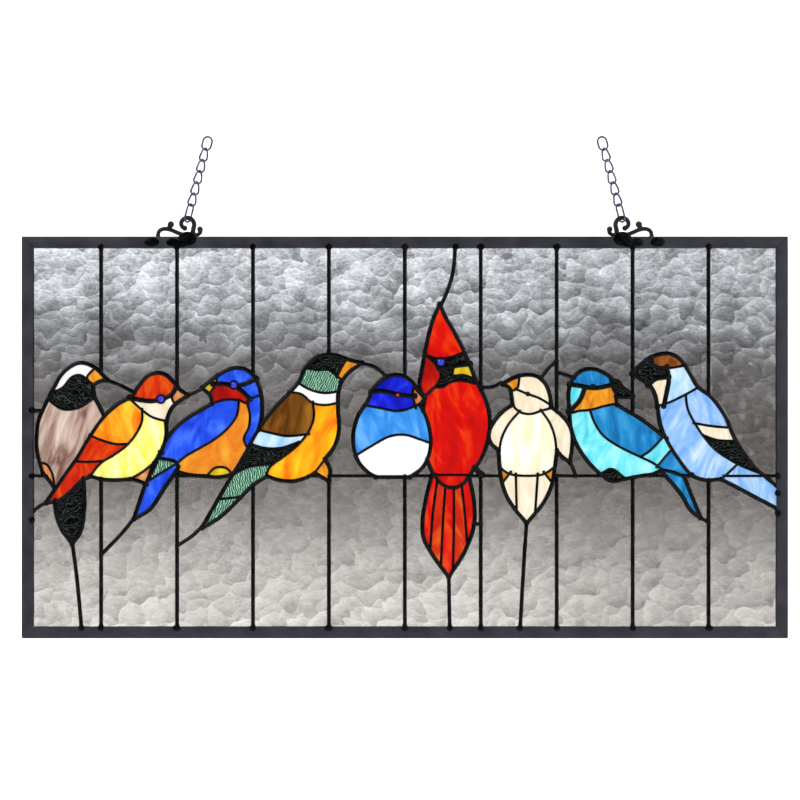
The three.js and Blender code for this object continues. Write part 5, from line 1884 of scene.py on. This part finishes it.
@dataclass
class Studio:
    """A pale floor that curves up into a wall far behind, soft light, and the camera."""

    middle: Vector  # what the camera looks at, on the panel's plane
    shown: float = 0.664  # width of the view there
    lens: float = 85.0
    sensor: float = 36.0
    sky: float = 0.12
    half_width: float = 4.0
    front: float = -2.4
    floor: float = -0.62
    top: float = 3.0
    behind: float = 1.7
    bend: float = 0.5
    bend_steps: int = 16

    def backdrop(self) -> Object:
        """The floor and the wall in one sweep."""
        start = self.behind - self.bend
        outline = [(self.front, self.floor), (start, self.floor)]
        for i in range(1, self.bend_steps + 1):
            angle = math.pi / 2 * i / self.bend_steps
            outline.append((start + self.bend * math.sin(angle),
                            self.floor + self.bend * (1 - math.cos(angle))))
        outline.append((self.behind, self.top))
        points = [(self.middle.x + s * self.half_width, y, z) for s in (-1, 1) for y, z in outline]
        count = len(outline)
        faces = [(i + 1, i, i + count, i + count + 1) for i in range(count - 1)]
        sweep = mesh_object("studio_sweep", points, faces)
        shade(sweep)
        material, tree, shader = new_material("matt white studio paper")
        place = add(tree, "ShaderNodeTexCoord")
        fibre = add(tree, "ShaderNodeTexNoise", {"Vector": place.outputs["Object"], "Scale": 1 / (40 * MM)})
        colour = ramp(tree, fibre, (0.3, 0.7), ("#f6f6f6", "#fafafa"))
        feed(shader, {"Base Color": colour, "Roughness": 0.9})
        sweep.data.materials.append(material)
        return sweep

    def build(self) -> Object:
        """Sets up everything that isn't the panel and returns the backdrop."""
        scene = bpy.context.scene
        camera = linked("camera", bpy.data.cameras.new("camera"))
        camera.data.lens = self.lens
        camera.data.sensor_width = self.sensor
        camera.data.clip_start = 0.05
        camera.location = self.middle - Vector((0, self.shown * self.lens / self.sensor, 0))
        camera.rotation_euler = (math.pi / 2, 0, 0)
        scene.camera = camera
        wall = Vector((self.middle.x, self.behind, self.middle.z))
        for lamp in LAMPS:
            lamp.build(wall if lamp.on_wall else self.middle)
        scene.world = bpy.data.worlds.new("studio")
        scene.world.use_nodes = True
        feed(scene.world.node_tree.nodes["Background"], {"Color": linear("#ffffff"), "Strength": self.sky})
        scene.view_settings.view_transform = "Standard"
        return self.backdrop()


def show(piece: Object, slot: str, nodes: Sequence[str] = ()) -> None:
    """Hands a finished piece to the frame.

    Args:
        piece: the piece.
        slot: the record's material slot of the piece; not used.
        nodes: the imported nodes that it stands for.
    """
    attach(piece, "root")
    if nodes:
        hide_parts(*nodes)
    log.info("%s: %d faces", piece.name, len(piece.data.polygons))


def main() -> None:
    """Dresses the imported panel, piece by piece, and sets up the studio."""
    logging.basicConfig(level=logging.INFO, format="%(message)s")
    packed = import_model()
    slots = {part["node"]: part["material_slot"] for part in packed["record"]["subparts"]}

    glass = {sheet: finish.make() for sheet, finish in SHEETS.items()}
    solder, channel, casting, nickel = (m.make() for m in (SOLDER, CHANNEL, CASTING, NICKEL))
    gems = {Gem.BLUE: GemGlass("blue", ("#1420b4", "#3c50e6")).make(),
            Gem.RED: GemGlass("red", ("#8c0f0a", "#d23a28")).make(),
            Gem.SOLDER: solder}

    sides = {side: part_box(f"frame_{side.name.lower()}") for side in Side}
    middle_x = (sides[Side.LEFT][0].x + sides[Side.RIGHT][1].x) / 2
    wire_z = sides[Side.BOTTOM][1].z + BELOW_WIRE
    opening = (Vector((sides[Side.LEFT][1].x, 0, sides[Side.BOTTOM][1].z)),
               Vector((sides[Side.RIGHT][0].x, 0, sides[Side.TOP][0].z)))
    glass[Glass.CLEAR] = HammeredGlass(opening[0].z, opening[1].z, middle_x).make()
    cartoon = Cartoon(middle_x, wire_z)
    cartoon.fill()

    nodes = {name: node for name, node in packed["nodes"].items() if slots[name].endswith("_glass")}
    for node, piece in SheetOfGlass(cartoon, nodes, glass).build():
        show(piece, slots[node], [node])

    work = SolderWork(cartoon, opening, sides[Side.TOP][0].y, solder)
    show(work.build(), slots["lead_lines"], ["lead_lines"])
    show(work.tacks(), slots["lead_lines"])
    for bird, eye in Eyes(cartoon).build(gems):
        show(eye, "red_glass" if bird == "round_bird" else "blue_glass")

    frame = ChannelFrame(sides, channel)
    for side in Side:
        node = f"frame_{side.name.lower()}"
        show(frame.bar(side), slots[node], [node])

    for end, side in (("left", 1), ("right", -1)):
        foot = Vector((middle_x - side * HANGER_SPACING / 2, 0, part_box(f"hanger_{end}")[0].z))
        hanger = ScrollHanger(foot, side, casting)
        show(hanger.build(f"scroll_hanger_{end}"), slots[f"hanger_{end}"], [f"hanger_{end}"])
        show(hanger.soldering(work, f"hanger_solder_{end}"), slots["lead_lines"])
        chain = Chain(hanger, nickel).build(f"twisted_chain_{end}")
        show(chain, slots[f"chain_{end}"], [f"chain_{end}"])

    Studio(Vector((middle_x - CAMERA_ASIDE, 0, wire_z + CAMERA_UP))).build()


if __name__ == "__main__":
    main()
